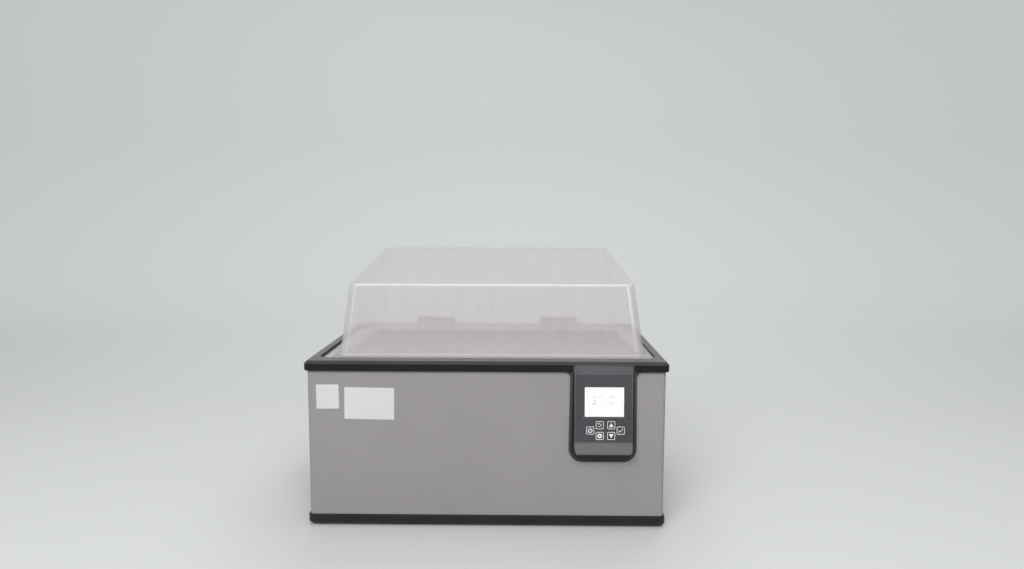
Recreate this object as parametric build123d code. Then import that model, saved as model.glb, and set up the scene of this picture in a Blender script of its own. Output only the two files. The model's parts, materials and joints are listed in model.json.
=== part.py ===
from build123d import *
import math
import os

# Circulating water bath of about 20 litres with a hinged clear cover.
# Millimetres, +Z up, front towards -Y, +X to the right as seen from the front.
# The origin lies at bench level under the centre of the top rim.

# Top rim and its control pod
RIM_TOP_Z = 263.0
RIM_BEVEL = 4.8
RIM_H = 15.6
RIM_CORNER_R = 9.0
RIM_WALL = 3.0
RIM_WAIST_R = 2.0
RIM_TOP_R = 1.0
RIM_LOW_R = 2.0
OVERHANG = 4.7
RECESS_R = 16.0
RECESS_DEPTH = 6.0
SIDE_MARGIN = 16.0
FRONT_MARGIN = 30.0
REAR_MARGIN = 40.0
LEDGE_T = 3.0

POD_INSET = 101.0
POD_TOP_W = 94.0
POD_LOW_W = 98.6
POD_CORNER_R = 18.0
POD_FLANK_DEG = 14.0
POD_WALL = 3.0
FACE_LEN = 119.0
FACE_LEAN_DEG = 4.8
CHIN_LEN = 18.0
CHIN_LEAN_DEG = 20.0
UNDER_BEVEL = 13.0
POD_LIP = 3.4
POD_LIP_T = 2.4
POD_BLEND_R = 10.0
POD_BLEND_LAP = 0.4
POD_EDGE_R = 3.0

# Body shell, base and feet
SHEET_T = 1.0
WRAP_R = 6.0
WRAP_GRIP = 8.0
GROOVE_FIT = 0.2
RETURN_W = 14.0
HATCH_MARGIN = 4.0
PANEL_FIT = 0.5
PANEL_SCREW_R = 1.6
PANEL_SCREW_HEAD_R = 3.0
PANEL_SCREW_HEAD_H = 1.8
PANEL_SCREW_END = 25.0
PANEL_SCREW_REACH = 3.0
PANEL_SCREW_ROWS = 2
VENT_X = -52.0
VENT_Z = 47.0
VENT_LEN = 44.0
VENT_W = 4.0
VENT_COLUMNS = 3
VENT_ROWS = 3
VENT_PITCH_X = 52.0
VENT_PITCH_Z = 11.0
BASE_PROUD = 3.0
BASE_BAND_H = 15.0
BASE_FLOOR_T = 5.0
BASE_CORNER_R = 9.0
BASE_TOP_R = 2.2
BASE_LOW_EDGE = 3.0
INTAKE_X = 40.0
INTAKE_Y = -39.0
INTAKE_LEN = 60.0
INTAKE_W = 5.0
INTAKE_COLUMNS = 3
INTAKE_ROWS = 4
INTAKE_PITCH_X = 80.0
INTAKE_PITCH_Y = 14.0
FOOT_H = 4.0
FOOT_R = 11.0
FOOT_TIP_R = 9.5
FOOT_STEM_R = 3.5
FOOT_INSET = 27.0
FOOT_STEM_PROUD = 1.0
TIE_R = 2.5
TIE_INSET = 34.0
TIE_END = 2.0
TIE_GAP = 11.0
TIE_BOSS_R = 5.0
TIE_HEAD_R = 4.5
TIE_HEAD_H = 2.6

# Tank, its gasket and its insulation
TANK_W = 498.0
TANK_D = 296.0
TANK_DEPTH = 150.0
TANK_R = 30.0
TANK_FLOOR_R = 15.0
TANK_T = 1.0
TANK_GAP = 2.0
DECK_SHELF_X = 16.0
DECK_SHELF_Y = 12.0
DECK_FIT = 1.0
GASKET_T = 1.0
FOAM_T = 10.0
FOAM_TOP_GAP = 3.4
SOFT_GAP = 0.3

# Clear cover
COVER_X = 6.0
COVER_T = 3.0
FLANGE_SIDE_FIT = 8.0
FLANGE_END_FIT = 1.5
FLANGE_R = 12.0
DOME_SIDE_INSET = 10.5
DOME_FRONT_INSET = 20.0
DOME_REAR_INSET = 31.0
DOME_R = 15.0
DOME_TOE_DEG = 3.5
DOME_DRAFT_DEG = 7.2
DOME_FRONT_H = 109.0
ROOF_SLOPE_DEG = 11.8
DOME_EDGE_R = 7.0
DOME_FOOT_R = 4.0

# Cover hinges
HINGE_SPREAD = 244.0
HINGE_W = 74.0
HINGE_LEAF_W = 38.0
HINGE_BACK = 15.0
HINGE_AXIS_H = 9.0
KNUCKLE_R = 6.5
PIN_R = 2.0
RUN_FIT = 0.05
SIDE_FIT = 0.4
LEAF_T = 3.0
LEAF_REACH = 8.5
LEAF_NECK = 2.0
BLOCK_BASE_T = 2.0
BLOCK_D = 24.0
BLOCK_LIP = 2.0
CROWN_SIDE = 1.0
CROWN_R = 3.5
HINGE_SCREW_R = 1.75
HINGE_SCREW_HEAD_R = 3.2

# Control pod contents, laid out on the leaning face: across, and down from the bevel
BEZEL_W = 86.0
BEZEL_TOP = 14.0
OVERLAY_T = 1.6
SCREEN_X = 1.0
SCREEN_W = 60.0
SCREEN_H = 45.5
SCREEN_LOW_GAP = 1.5
SCREEN_FIT = 0.5
HOLLOW_SIDE = 1.0
KEYPAD_GAP = 0.6
KEYPAD_H = 36.5
FACE_LOW_GAP = 1.9
KEY_SIDE = 12.4
KEY_FIT = 0.3
KEY_PROUD = 0.4
KEY_FLANGE = 0.8
KEY_FLANGE_T = 0.8
KEY_STROKE = 0.6
KEY_ROW_RISE = 19.7
KEY_ROW_STEP = 8.2
KEY_POWER_X = -20.5
KEY_LEFT_X = -6.0
KEY_RIGHT_X = 11.5
KEY_CHECK_X = 26.0
SWITCH_SIDE = 6.0
SWITCH_FIT = 0.5
SWITCH_H = 4.0
SWITCH_PLAY = 0.2
BOARD_T = 1.6
BOARD_MARGIN = 4.0
LCD_T = 6.0
LCD_BORDER = 3.5

# Pump
PUMP_INSET = 124.0
IMPELLER_R = 24.0
IMPELLER_H = 9.0
IMPELLER_LIFT = 1.0
HUB_RISE = 2.0
CLIP_H = 1.5
CLIP_WALL = 2.0
HUB_R = 8.0
BLADES = 6
BLADE_T = 1.6
BLADE_BOW = 3.5
BLADE_SWEEP = 9.0
BLADE_ROOT = 2.0
BLADE_TIP = 1.0
AXLE_R = 2.5
AXLE_H = 16.0
PUMP_GUARD_R = 34.0
PUMP_GUARD_H = 17.0
PUMP_GUARD_T = 1.2
PUMP_GUARD_EDGE = 3.0
PORT_W = 20.0
PORT_SILL = 3.0
EYE_R = 9.0
MAGNET_R = 21.0
MAGNET_T = 8.0
MAGNET_GAP = 1.5
MOTOR_R = 31.0
MOTOR_H = 44.0
MOTOR_BOSS_R = 9.0
MOTOR_BOSS_H = 3.0
MOTOR_EDGE = 3.0
BOSS_STEP = 1.0
SHAFT_R = 3.0
SHAFT_DEPTH = 20.0
SHAFT_COVER = 1.0
BRACKET_SIDE = 88.0
BRACKET_T = 2.0
LEG_R = 3.0
LEG_INSET = 8.0

# Heater, probe and perforated tray
HEATER_R = 4.0
HEATER_LIFT = 12.0
HEATER_X = 96.0
HEATER_PITCH = 50.0
HEATER_BEND_R = 22.0
HEATER_FRONT_GAP = 38.0
HEATER_TAIL = 20.0
GLAND_R = 8.0
GLAND_H = 5.0
PROBE_X = -30.0
PROBE_R = 3.0
PROBE_LEN = 62.0
PROBE_TAIL = 14.0
PROBE_TIP = 1.5
PROBE_LIFT = 14.0
TRAY_SIDE_GAP = 4.0
TRAY_END_GAP = 7.0
TRAY_H = 30.0
TRAY_T = 1.2
TRAY_BEND_R = 3.0
TRAY_HOLE_R = 7.0
TRAY_COLUMNS = 5
TRAY_ROWS = 3
TRAY_PITCH_X = 84.0
TRAY_PITCH_Y = 66.0

# Drain
DRAIN_INSET = 59.0
DRAIN_IN = 34.0
DRAIN_R = 6.0
DRAIN_BORE_R = 4.5
DRAIN_BEND_R = 12.0
DRAIN_DROP = 24.0
DRAIN_NUT_R = 11.0
DRAIN_NUT_H = 6.0
VALVE_STAND = 10.5
VALVE_R = 8.0
VALVE_LEN = 30.0
BARB_R = 5.5
BARB_LEN = 24.0
BARB_TIP_R = 6.3
BARB_START = 2.0
BARB_RIDGE = 4.0
BARB_PITCH = 8.0
BARB_RIDGES = 2
VALVE_COLLAR = 1.5
STEM_R = 3.0
STEM_H = 1.2
HANDLE_T = 2.4
HANDLE_W = 9.0
HANDLE_LEN = 30.0

# Power entry, safety dial and power electronics
INLET_INSET = 91.0
INLET_Z = 62.0
INLET_W = 50.0
INLET_H = 28.0
INLET_FLANGE_T = 2.5
INLET_BODY_W = 29.0
INLET_BODY_H = 22.0
INLET_BODY_D = 26.0
SOCKET_W = 24.6
SOCKET_H = 17.0
SOCKET_D = 17.0
BLADE_PIN_W = 2.0
BLADE_PIN_H = 6.0
BLADE_PIN_LEN = 14.0
BLADE_PIN_X = 7.0
BLADE_PIN_Z = 2.0
INLET_CORNER_R = 4.0
INLET_EAR = 10.0
SOCKET_CHAMFER = 5.0
FUSE_STEP = 44.0
FUSE_R = 8.0
FUSE_CAP_R = 6.5
FUSE_D = 22.0
FUSE_PROUD = 3.0
FUSE_SLOT_W = 1.4
FUSE_SLOT_D = 1.0
SWITCH_STEP = 38.0
SWITCH_W = 21.0
SWITCH_TALL = 30.0
SWITCH_D = 24.0
SWITCH_LIP_T = 2.0
SWITCH_LIP_W = 2.0
WELL_D = 7.0
WELL_END = 1.5
ROCKER_W = 14.0
ROCKER_TALL = 21.0
ROCKER_TILT_DEG = 9.0
ROCKER_AXLE_DEPTH = 4.0
ROCKER_PROUD = 0.5
ROCKER_SKIRT = 3.0
ROCKER_KEEL = 2.0
DIAL_STEP = 48.0
DIAL_R = 11.0
DIAL_H = 9.0
DIAL_GAP = 0.5
DIAL_SHAFT_R = 3.0
DIAL_SHAFT_IN = 8.0
DIAL_EDGE = 1.5
DIAL_RIDGE_W = 2.5
DIAL_RIDGE_H = 1.5
NOSE_WALL = 0.6
LIMITER_SIDE = 34.0
LIMITER_D = 22.0
SUPPLY_INSET = 96.0
SUPPLY_Y = 40.0
SUPPLY_W = 120.0
SUPPLY_D = 80.0
SUPPLY_CORNER_R = 2.0
RELAY_W = 15.0
RELAY_D = 20.0
RELAY_H = 16.0
RELAY_X = -46.0
RELAY_Y = 24.0
RELAY_PITCH = 20.0
RELAYS = 2
CAPACITOR_R = 6.0
CAPACITOR_H = 20.0
CAPACITOR_X = -40.0
CAPACITOR_Y = -26.0
CAPACITOR_PITCH = 16.0
CAPACITORS = 3
STANDOFF_H = 6.0
STANDOFF_R = 3.0
STANDOFF_INSET = 5.0
CORE_W = 48.0
CORE_D = 40.0
CORE_H = 36.0
CORE_MARGIN = 8.0
WINDING_SIDE = 8.0
WINDING_END = 6.0
WINDING_R = 5.0
SINK_STEP = 115.0
SINK_W = 60.0
SINK_D = 70.0
SINK_BASE_T = 5.0
SINK_FIN_H = 24.0
SINK_FINS = 7
SINK_FIN_T = 2.0

# Levels and places that follow from the sizes above
RECESS_W = TANK_W + 2 * DECK_SHELF_X
RECESS_D = TANK_D + 2 * DECK_SHELF_Y
RIM_W = RECESS_W + 2 * SIDE_MARGIN
RIM_D = RECESS_D + FRONT_MARGIN + REAR_MARGIN
FLANGE_W = RECESS_W - 2 * FLANGE_SIDE_FIT
FLANGE_D = RECESS_D - 2 * FLANGE_END_FIT
DOME_W = FLANGE_W - 2 * DOME_SIDE_INSET
DOME_D = FLANGE_D - DOME_FRONT_INSET - DOME_REAR_INSET
POD_X = RIM_W / 2 - POD_INSET
TIE_X = RECESS_W / 2 - TIE_INSET
PUMP_X = PUMP_INSET - TANK_W / 2
DRAIN_X = DRAIN_INSET - TANK_W / 2
INLET_X = RIM_W / 2 - INLET_INSET
FUSE_X = INLET_X - FUSE_STEP
SWITCH_X = FUSE_X - SWITCH_STEP
DIAL_X = SWITCH_X - DIAL_STEP
SUPPLY_X = RIM_W / 2 - SUPPLY_INSET
SINK_X = SUPPLY_X - SINK_STEP
FRONT_Y = -RIM_D / 2
WAIST_Z = RIM_TOP_Z - RIM_BEVEL
SKIRT_Z = RIM_TOP_Z - RIM_H
LEDGE_Z = RIM_TOP_Z - RECESS_DEPTH
DECK_Z = LEDGE_Z + GASKET_T
COVER_Z = DECK_Z + TANK_T
TANK_FLOOR_Z = COVER_Z - TANK_DEPTH
TANK_UNDER_Z = TANK_FLOOR_Z - TANK_T
BASE_FLOOR_Z = FOOT_H + BASE_FLOOR_T
RECESS_Y = FRONT_Y + FRONT_MARGIN + RECESS_D / 2
WRAP_W = RIM_W - 2 * OVERHANG
WRAP_D = RIM_D - 2 * OVERHANG
WRAP_FRONT_Y = -WRAP_D / 2
WRAP_REAR_Y = WRAP_D / 2
WRAP_TOP_Z = SKIRT_Z + WRAP_GRIP
PANEL_W = WRAP_W - 2 * WRAP_R - 2 * PANEL_FIT
PANEL_OUT_Y = WRAP_REAR_Y - SHEET_T
PANEL_IN_Y = PANEL_OUT_Y - SHEET_T
TANK_FRONT_Y = RECESS_Y - TANK_D / 2
TANK_REAR_Y = RECESS_Y + TANK_D / 2
FLANGE_TOP_Z = COVER_Z + COVER_T
FLANGE_REAR_Y = RECESS_Y + FLANGE_D / 2
DOME_Y = RECESS_Y - FLANGE_D / 2 + DOME_FRONT_INSET + DOME_D / 2
HINGE_Y = RECESS_Y + RECESS_D / 2 + HINGE_BACK
HINGE_Z = RIM_TOP_Z + HINGE_AXIS_H
HINGE_XS = (COVER_X - HINGE_SPREAD / 2, COVER_X + HINGE_SPREAD / 2)
BRACKET_TOP_Z = TANK_UNDER_Z - MAGNET_GAP - MAGNET_T - MOTOR_BOSS_H - BRACKET_T
PUMP_Y = RECESS_Y
DRAIN_Y = TANK_REAR_Y - DRAIN_IN
DRAIN_Z = TANK_UNDER_Z - DRAIN_DROP
VALVE_Y = WRAP_REAR_Y + VALVE_STAND
TRAY_Y = RECESS_Y
HEATER_Z = TANK_FLOOR_Z + HEATER_LIFT
PROBE_Z = TANK_FLOOR_Z + PROBE_LIFT
TRAY_W = TANK_W - 2 * (TANK_FLOOR_R + TRAY_SIDE_GAP)
TRAY_D = TANK_D - 2 * (TANK_FLOOR_R + TRAY_END_GAP)
ROCKER_Y = PANEL_OUT_Y - ROCKER_AXLE_DEPTH

FACE_LEAN = math.radians(FACE_LEAN_DEG)
FACE = Plane(
    origin=(POD_X, FRONT_Y, WAIST_Z),
    x_dir=(1, 0, 0),
    z_dir=(0, -math.cos(FACE_LEAN), math.sin(FACE_LEAN)),
)
BEZEL_H = FACE_LEN - BEZEL_TOP - KEYPAD_GAP - KEYPAD_H - FACE_LOW_GAP
SCREEN_MID = -(BEZEL_TOP + BEZEL_H - SCREEN_LOW_GAP - SCREEN_H / 2)
KEY_ROW_MID = FACE_LEN - KEY_ROW_RISE
KEYPAD_TOP = BEZEL_TOP + BEZEL_H + KEYPAD_GAP
KEYS = {
    "key_power": (KEY_POWER_X, -KEY_ROW_MID),
    "key_return": (KEY_LEFT_X, -KEY_ROW_MID + KEY_ROW_STEP),
    "key_settings": (KEY_LEFT_X, -KEY_ROW_MID - KEY_ROW_STEP),
    "key_up": (KEY_RIGHT_X, -KEY_ROW_MID + KEY_ROW_STEP),
    "key_down": (KEY_RIGHT_X, -KEY_ROW_MID - KEY_ROW_STEP),
    "key_confirm": (KEY_CHECK_X, -KEY_ROW_MID),
}

RISE = (Align.CENTER, Align.CENTER, Align.MIN)
TO_REAR = (Align.CENTER, Align.MIN, Align.CENTER)
TO_FRONT = (Align.CENTER, Align.MAX, Align.CENTER)


def slab(width, depth, radius, z_low, z_high, y_mid=0.0, x_mid=0.0):
    """A plate or block with rounded vertical corners."""
    outline = RectangleRounded(width, depth, radius)
    return Pos(x_mid, y_mid, z_low) * extrude(outline, z_high - z_low)


def rod(radius, z_low, z_high, x=0.0, y=0.0):
    """An upright cylinder."""
    return Pos(x, y, z_low) * Cylinder(radius, z_high - z_low, align=RISE)


def hex_rod(radius, z_low, z_high, x, y):
    """An upright hexagonal spacer or nut."""
    return Pos(x, y, z_low) * extrude(RegularPolygon(radius, 6), z_high - z_low)


def rod_y(radius, y_low, y_high, x, z):
    """A cylinder lying front to back."""
    return Pos(x, y_low, z) * Rot(-90, 0, 0) * Cylinder(radius, y_high - y_low, align=RISE)


def rod_x(radius, x_low, x_high, y, z):
    """A cylinder lying left to right."""
    return Pos(x_low, y, z) * Rot(0, 90, 0) * Cylinder(radius, x_high - x_low, align=RISE)


def on_face(width, height, u, v, w_low, w_high):
    """A block square to the pod's face: across, up, and out from it."""
    block = Box(width, height, w_high - w_low, align=RISE)
    return FACE * Pos(u, v, w_low) * block


# Top frame: rim, ledge and control pod in one moulding


def pod_profile():
    """Side view of the pod: leaning face, chin and under-bevel."""
    chin = math.radians(CHIN_LEAN_DEG)
    face_low = (FRONT_Y - FACE_LEN * math.sin(FACE_LEAN), WAIST_Z - FACE_LEN * math.cos(FACE_LEAN))
    chin_low = (face_low[0] - CHIN_LEN * math.sin(chin), face_low[1] - CHIN_LEN * math.cos(chin))
    under = (chin_low[0] + UNDER_BEVEL, chin_low[1] - UNDER_BEVEL)
    return [
        (WRAP_FRONT_Y, WAIST_Z),
        (FRONT_Y, WAIST_Z),
        face_low,
        chin_low,
        under,
        (WRAP_FRONT_Y, under[1]),
    ]


POD_LOW_Z = pod_profile()[-1][1]
POD_FRONT_Y = min(y for y, z in pod_profile())
POD_PLANE = Plane(origin=(POD_X, WRAP_FRONT_Y, 0), x_dir=(1, 0, 0), z_dir=(0, -1, 0))


def pod_half_width(z):
    """Half the pod's width where it leaves the shell; it widens a little downwards."""
    widening = (POD_LOW_W - POD_TOP_W) / (WAIST_Z - POD_LOW_Z)
    return (POD_LOW_W - widening * (z - POD_LOW_Z)) / 2


def pod_outline(grow, top_z):
    """Front view of the pod with its two large lower corners."""
    low_z = POD_LOW_Z - grow
    low = pod_half_width(low_z) + grow
    top = pod_half_width(top_z) + grow
    outline = make_face(Polyline((-low, low_z), (low, low_z), (top, top_z), (-top, top_z), close=True))
    corners = outline.vertices().sort_by(Axis.Y)[:2]
    return fillet(corners, POD_CORNER_R + grow)


def pod_body():
    """The pod before it is hollowed: side view and front view made to agree."""
    side = extrude(Plane.YZ * make_face(Polyline(*pod_profile(), close=True)), POD_LOW_W, both=True)
    reach = WRAP_FRONT_Y - POD_FRONT_Y + 2 * POD_EDGE_R
    flanks = extrude(POD_PLANE * pod_outline(0, RIM_TOP_Z + reach), reach, taper=POD_FLANK_DEG)
    pod = Pos(POD_X, 0, 0) * side & flanks
    corners = [
        edge
        for edge in pod.edges()
        if edge.center().Y < WRAP_FRONT_Y - 1 and edge.center().Z < WAIST_Z - 1
    ]
    return fillet(corners, POD_EDGE_R)


def flare(edge, thickness):
    """Two quarter-round webs that lead the pod's sides into the rim's underside."""
    outline = Sketch()
    for side in (-1, 1):
        corner = Pos(side * (edge + POD_BLEND_R / 2), SKIRT_Z - POD_BLEND_R / 2)
        outline += corner * Rectangle(POD_BLEND_R, POD_BLEND_R)
        outline -= Pos(side * (edge + POD_BLEND_R), SKIRT_Z - POD_BLEND_R) * Circle(POD_BLEND_R)
    return extrude(POD_PLANE * outline, thickness)


def pod_lip():
    """Thin border of the pod against the shell, flared like the pod."""
    lip = extrude(POD_PLANE * pod_outline(POD_LIP, SKIRT_Z), POD_LIP_T)
    return lip + flare(pod_half_width(SKIRT_Z) + POD_LIP, POD_LIP_T)


def pod_flare():
    """The webs under the rim, as deep as its round lower edge lets them be."""
    depth = OVERHANG - RIM_LOW_R
    flank = depth * math.tan(math.radians(POD_FLANK_DEG))
    return flare(pod_half_width(SKIRT_Z) - flank - POD_BLEND_LAP, depth)


def rim_body():
    """The rim before it is hollowed: a bevel above an upright side with a round lower edge."""
    waist = Pos(0, 0, WAIST_Z) * RectangleRounded(RIM_W, RIM_D, RIM_CORNER_R)
    body = extrude(waist, -(WAIST_Z - SKIRT_Z)) + extrude(waist, RIM_BEVEL, taper=45)
    return fillet(body.edges().group_by(Axis.Z)[0], RIM_LOW_R)


def rim_with_pod():
    """Rim and pod as one solid, with the rim's waist and top edge rounded."""
    whole = rim_body() + pod_body() + pod_flare()
    waist = [
        edge
        for edge in whole.edges()
        if abs(edge.center().Z - WAIST_Z) < 0.05 and not on_pod_top(edge)
    ]
    whole = fillet(waist, RIM_WAIST_R)
    top = [edge for edge in whole.edges() if abs(edge.center().Z - RIM_TOP_Z) < 0.01]
    return fillet(top, RIM_TOP_R) + pod_lip()


def on_pod_top(edge):
    """True for the edge where the pod's face runs into the rim's bevel."""
    return abs(edge.center().X - POD_X) < POD_LOW_W / 2 and edge.center().Y < WRAP_FRONT_Y


def pod_hollow():
    """Room behind the pod's face for the display and the keys, open to the back."""
    depth = WRAP_FRONT_Y - POD_FRONT_Y
    room = on_face(
        BEZEL_W + 2 * HOLLOW_SIDE, FACE_LEN - BEZEL_TOP, 0, -(BEZEL_TOP + FACE_LEN) / 2,
        -3 * depth, -POD_WALL,
    )
    behind = Box(POD_LOW_W, depth, 2 * FACE_LEN, align=(Align.CENTER, Align.MAX, Align.CENTER))
    return room & Pos(POD_X, WRAP_FRONT_Y + POD_LIP_T, WAIST_Z - FACE_LEN / 2) * behind


def overlay_seat():
    """Shallow pocket in the face for the bezel and the keypad, with their two windows."""
    height = BEZEL_H + KEYPAD_GAP + KEYPAD_H
    middle = -(BEZEL_TOP + height / 2)
    seat = on_face(BEZEL_W, height, 0, middle, -OVERLAY_T, POD_EDGE_R)
    border = 2 * (LCD_BORDER + SCREEN_FIT)
    screen = on_face(
        SCREEN_W + border, SCREEN_H + border, SCREEN_X, SCREEN_MID, -2 * POD_WALL, 0
    )
    margin = KEY_SIDE + 2 * (KEY_FLANGE + SWITCH_FIT)
    keys = on_face(
        KEY_CHECK_X - KEY_POWER_X + margin, 2 * KEY_ROW_STEP + margin,
        (KEY_CHECK_X + KEY_POWER_X) / 2, -KEY_ROW_MID, -2 * POD_WALL, 0,
    )
    return seat + screen + keys


def tie_places():
    """Centres of the four tie rods, in the channel between the recess and the shell."""
    front = RECESS_Y - RECESS_D / 2 - TIE_GAP
    rear = RECESS_Y + RECESS_D / 2 + TIE_GAP + RIM_WALL
    return [(x, y) for x in (-TIE_X, TIE_X) for y in (front, rear)]


def top_frame():
    """Rim with its ledge, the groove for the shell, the tie rod bosses and the pod."""
    frame = rim_with_pod()
    channel = slab(
        WRAP_W - 2 * (SHEET_T + RIM_WALL), WRAP_D - 2 * (SHEET_T + RIM_WALL), WRAP_R,
        SKIRT_Z, RIM_TOP_Z - RIM_WALL,
    )
    channel -= slab(
        RECESS_W + 2 * RIM_WALL, RECESS_D + 2 * RIM_WALL, RECESS_R + RIM_WALL,
        LEDGE_Z - LEDGE_T, RIM_TOP_Z, RECESS_Y,
    )
    frame -= channel
    groove = slab(WRAP_W + 2 * GROOVE_FIT, WRAP_D + 2 * GROOVE_FIT, WRAP_R, SKIRT_Z, WRAP_TOP_Z)
    inner = 2 * (SHEET_T + GROOVE_FIT)
    rear_inner = SHEET_T + GROOVE_FIT
    groove -= slab(
        WRAP_W - inner, WRAP_D - inner - rear_inner, WRAP_R - 1, SKIRT_Z, WRAP_TOP_Z, -rear_inner / 2
    )
    frame -= groove
    frame -= slab(RECESS_W, RECESS_D, RECESS_R, LEDGE_Z, RIM_TOP_Z + 1, RECESS_Y)
    frame -= slab(
        TANK_W + 2 * (TANK_T + TANK_GAP), TANK_D + 2 * (TANK_T + TANK_GAP), TANK_R + TANK_T,
        SKIRT_Z, RIM_TOP_Z, RECESS_Y,
    )
    for x, y in tie_places():
        frame += rod(TIE_BOSS_R, SKIRT_Z, RIM_TOP_Z - RIM_WALL, x, y)
        frame -= rod(TIE_R, SKIRT_Z, RIM_TOP_Z - RIM_WALL - TIE_END / 2, x, y)
    for x in HINGE_XS:
        for place in hinge_screw_places(x):
            frame -= rod(HINGE_SCREW_R, RIM_TOP_Z - RIM_WALL, RIM_TOP_Z, place, HINGE_Y)
    frame -= pod_hollow()
    frame -= overlay_seat()
    return frame


# Shell, rear panel, base and feet


def case_wrap():
    """Folded sheet round the front and both sides, with two return flanges at the back."""
    shell = slab(WRAP_W, WRAP_D, WRAP_R, BASE_FLOOR_Z, WRAP_TOP_Z)
    shell -= slab(
        WRAP_W - 2 * SHEET_T, WRAP_D - 2 * SHEET_T, WRAP_R - SHEET_T, BASE_FLOOR_Z, WRAP_TOP_Z
    )
    back = Box(WRAP_W - 2 * RETURN_W, 4 * SHEET_T, WRAP_TOP_Z * 2)
    shell -= Pos(0, WRAP_REAR_Y, 0) * back
    window_low = WAIST_Z - FACE_LEN + HATCH_MARGIN
    window_high = SKIRT_Z - 3 * HATCH_MARGIN
    window = Box(BEZEL_W - 2 * HATCH_MARGIN, 4 * SHEET_T, window_high - window_low, align=RISE)
    shell -= Pos(POD_X, WRAP_FRONT_Y, window_low) * window
    for x, z in panel_screw_places():
        shell -= rod_y(PANEL_SCREW_R, PANEL_OUT_Y, WRAP_REAR_Y, x, z)
    return shell


def panel_screw_places():
    """Screws that hold the rear panel to the return flanges, in a column on each side."""
    across = (WRAP_W - RETURN_W) / 2 - SHEET_T
    low = BASE_FLOOR_Z + PANEL_SCREW_END
    step = (SKIRT_Z - PANEL_SCREW_END - low) / (PANEL_SCREW_ROWS - 1)
    return [(side * across, low + n * step) for side in (-1, 1) for n in range(PANEL_SCREW_ROWS)]


def rear_panel():
    """Flat sheet behind the return flanges, with its cut-outs and cooling slots."""
    height = WRAP_TOP_Z - BASE_FLOOR_Z
    panel = Pos(0, PANEL_IN_Y, BASE_FLOOR_Z) * Box(
        PANEL_W, SHEET_T, height, align=(Align.CENTER, Align.MIN, Align.MIN)
    )
    cuts = [
        (INLET_X, INLET_Z, INLET_BODY_W + 2 * GROOVE_FIT, INLET_BODY_H + 2 * GROOVE_FIT),
        (SWITCH_X, INLET_Z, SWITCH_W - 2 * SWITCH_LIP_W + 2 * GROOVE_FIT,
         SWITCH_TALL - 2 * SWITCH_LIP_W + 2 * GROOVE_FIT),
    ]
    for x, z, width, tall in cuts:
        panel -= Pos(x, PANEL_OUT_Y, z) * Box(width, 4 * SHEET_T, tall)
    holes = [
        (DIAL_X, INLET_Z, DIAL_SHAFT_R + NOSE_WALL + GROOVE_FIT),
        (FUSE_X, INLET_Z, FUSE_CAP_R),
        (DRAIN_X, DRAIN_Z, DRAIN_R + SOFT_GAP),
    ]
    holes += [(x, z, PANEL_SCREW_R) for x, z in panel_screw_places()]
    for x, z, radius in holes:
        panel -= rod_y(radius, PANEL_IN_Y, PANEL_OUT_Y, x, z)
    vents = Plane.XZ * GridLocations(VENT_PITCH_X, VENT_PITCH_Z, VENT_COLUMNS, VENT_ROWS)
    slot = extrude(SlotOverall(VENT_LEN, VENT_W), 3 * SHEET_T, both=True)
    return panel - [Pos(VENT_X, PANEL_OUT_Y, VENT_Z) * place * slot for place in vents]


def base_tray():
    """Moulded base: floor, bumper band round the shell and foot sockets."""
    width = WRAP_W + 2 * BASE_PROUD
    depth = WRAP_D + 2 * BASE_PROUD
    base = slab(width, depth, BASE_CORNER_R, FOOT_H, FOOT_H + BASE_BAND_H)
    base = fillet(base.faces().sort_by(Axis.Z)[-1].edges(), BASE_TOP_R)
    base = chamfer(base.faces().sort_by(Axis.Z)[0].edges(), BASE_LOW_EDGE)
    base -= slab(
        WRAP_W + 2 * GROOVE_FIT, WRAP_D + 2 * GROOVE_FIT, WRAP_R, BASE_FLOOR_Z, FOOT_H + 2 * BASE_BAND_H
    )
    for x, y in foot_places().values():
        base -= rod(FOOT_STEM_R, FOOT_H, BASE_FLOOR_Z, x, y)
    for x, y in tie_places():
        base -= rod(TIE_R, FOOT_H, BASE_FLOOR_Z, x, y)
    slot = Box(INTAKE_LEN, INTAKE_W, 3 * BASE_FLOOR_T)
    intakes = GridLocations(INTAKE_PITCH_X, INTAKE_PITCH_Y, INTAKE_COLUMNS, INTAKE_ROWS)
    return base - [Pos(INTAKE_X, INTAKE_Y, FOOT_H) * place * slot for place in intakes]


def foot_places():
    """Centres of the four feet."""
    across = WRAP_W / 2 - FOOT_INSET
    along = WRAP_D / 2 - FOOT_INSET
    return {
        "front_left": (-across, -along),
        "front_right": (across, -along),
        "rear_left": (-across, along),
        "rear_right": (across, along),
    }


def rubber_foot(x, y):
    """Tapered rubber foot with the stem that plugs into the base."""
    foot = Pos(x, y, 0) * Cone(FOOT_TIP_R, FOOT_R, FOOT_H, align=RISE)
    return foot + rod(FOOT_STEM_R, FOOT_H, BASE_FLOOR_Z + FOOT_STEM_PROUD, x, y)


def tie_rods():
    """Four long bolts that draw the top frame down on the shell and base."""
    rods = []
    for x, y in tie_places():
        bolt = rod(TIE_R, FOOT_H, RIM_TOP_Z - RIM_WALL - TIE_END, x, y)
        bolt += Pos(x, y, FOOT_H - TIE_HEAD_H) * extrude(RegularPolygon(TIE_HEAD_R, 6), TIE_HEAD_H)
        rods.append(bolt)
    return Compound(rods)


def rear_panel_screws():
    """Round-head screws through the return flanges into the rear panel."""
    screws = []
    for x, z in panel_screw_places():
        screw = rod_y(PANEL_SCREW_R, PANEL_IN_Y - PANEL_SCREW_REACH, WRAP_REAR_Y, x, z)
        screw += rod_y(PANEL_SCREW_HEAD_R, WRAP_REAR_Y, WRAP_REAR_Y + PANEL_SCREW_HEAD_H, x, z)
        screws.append(screw)
    return Compound(screws)


# Tank


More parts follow.
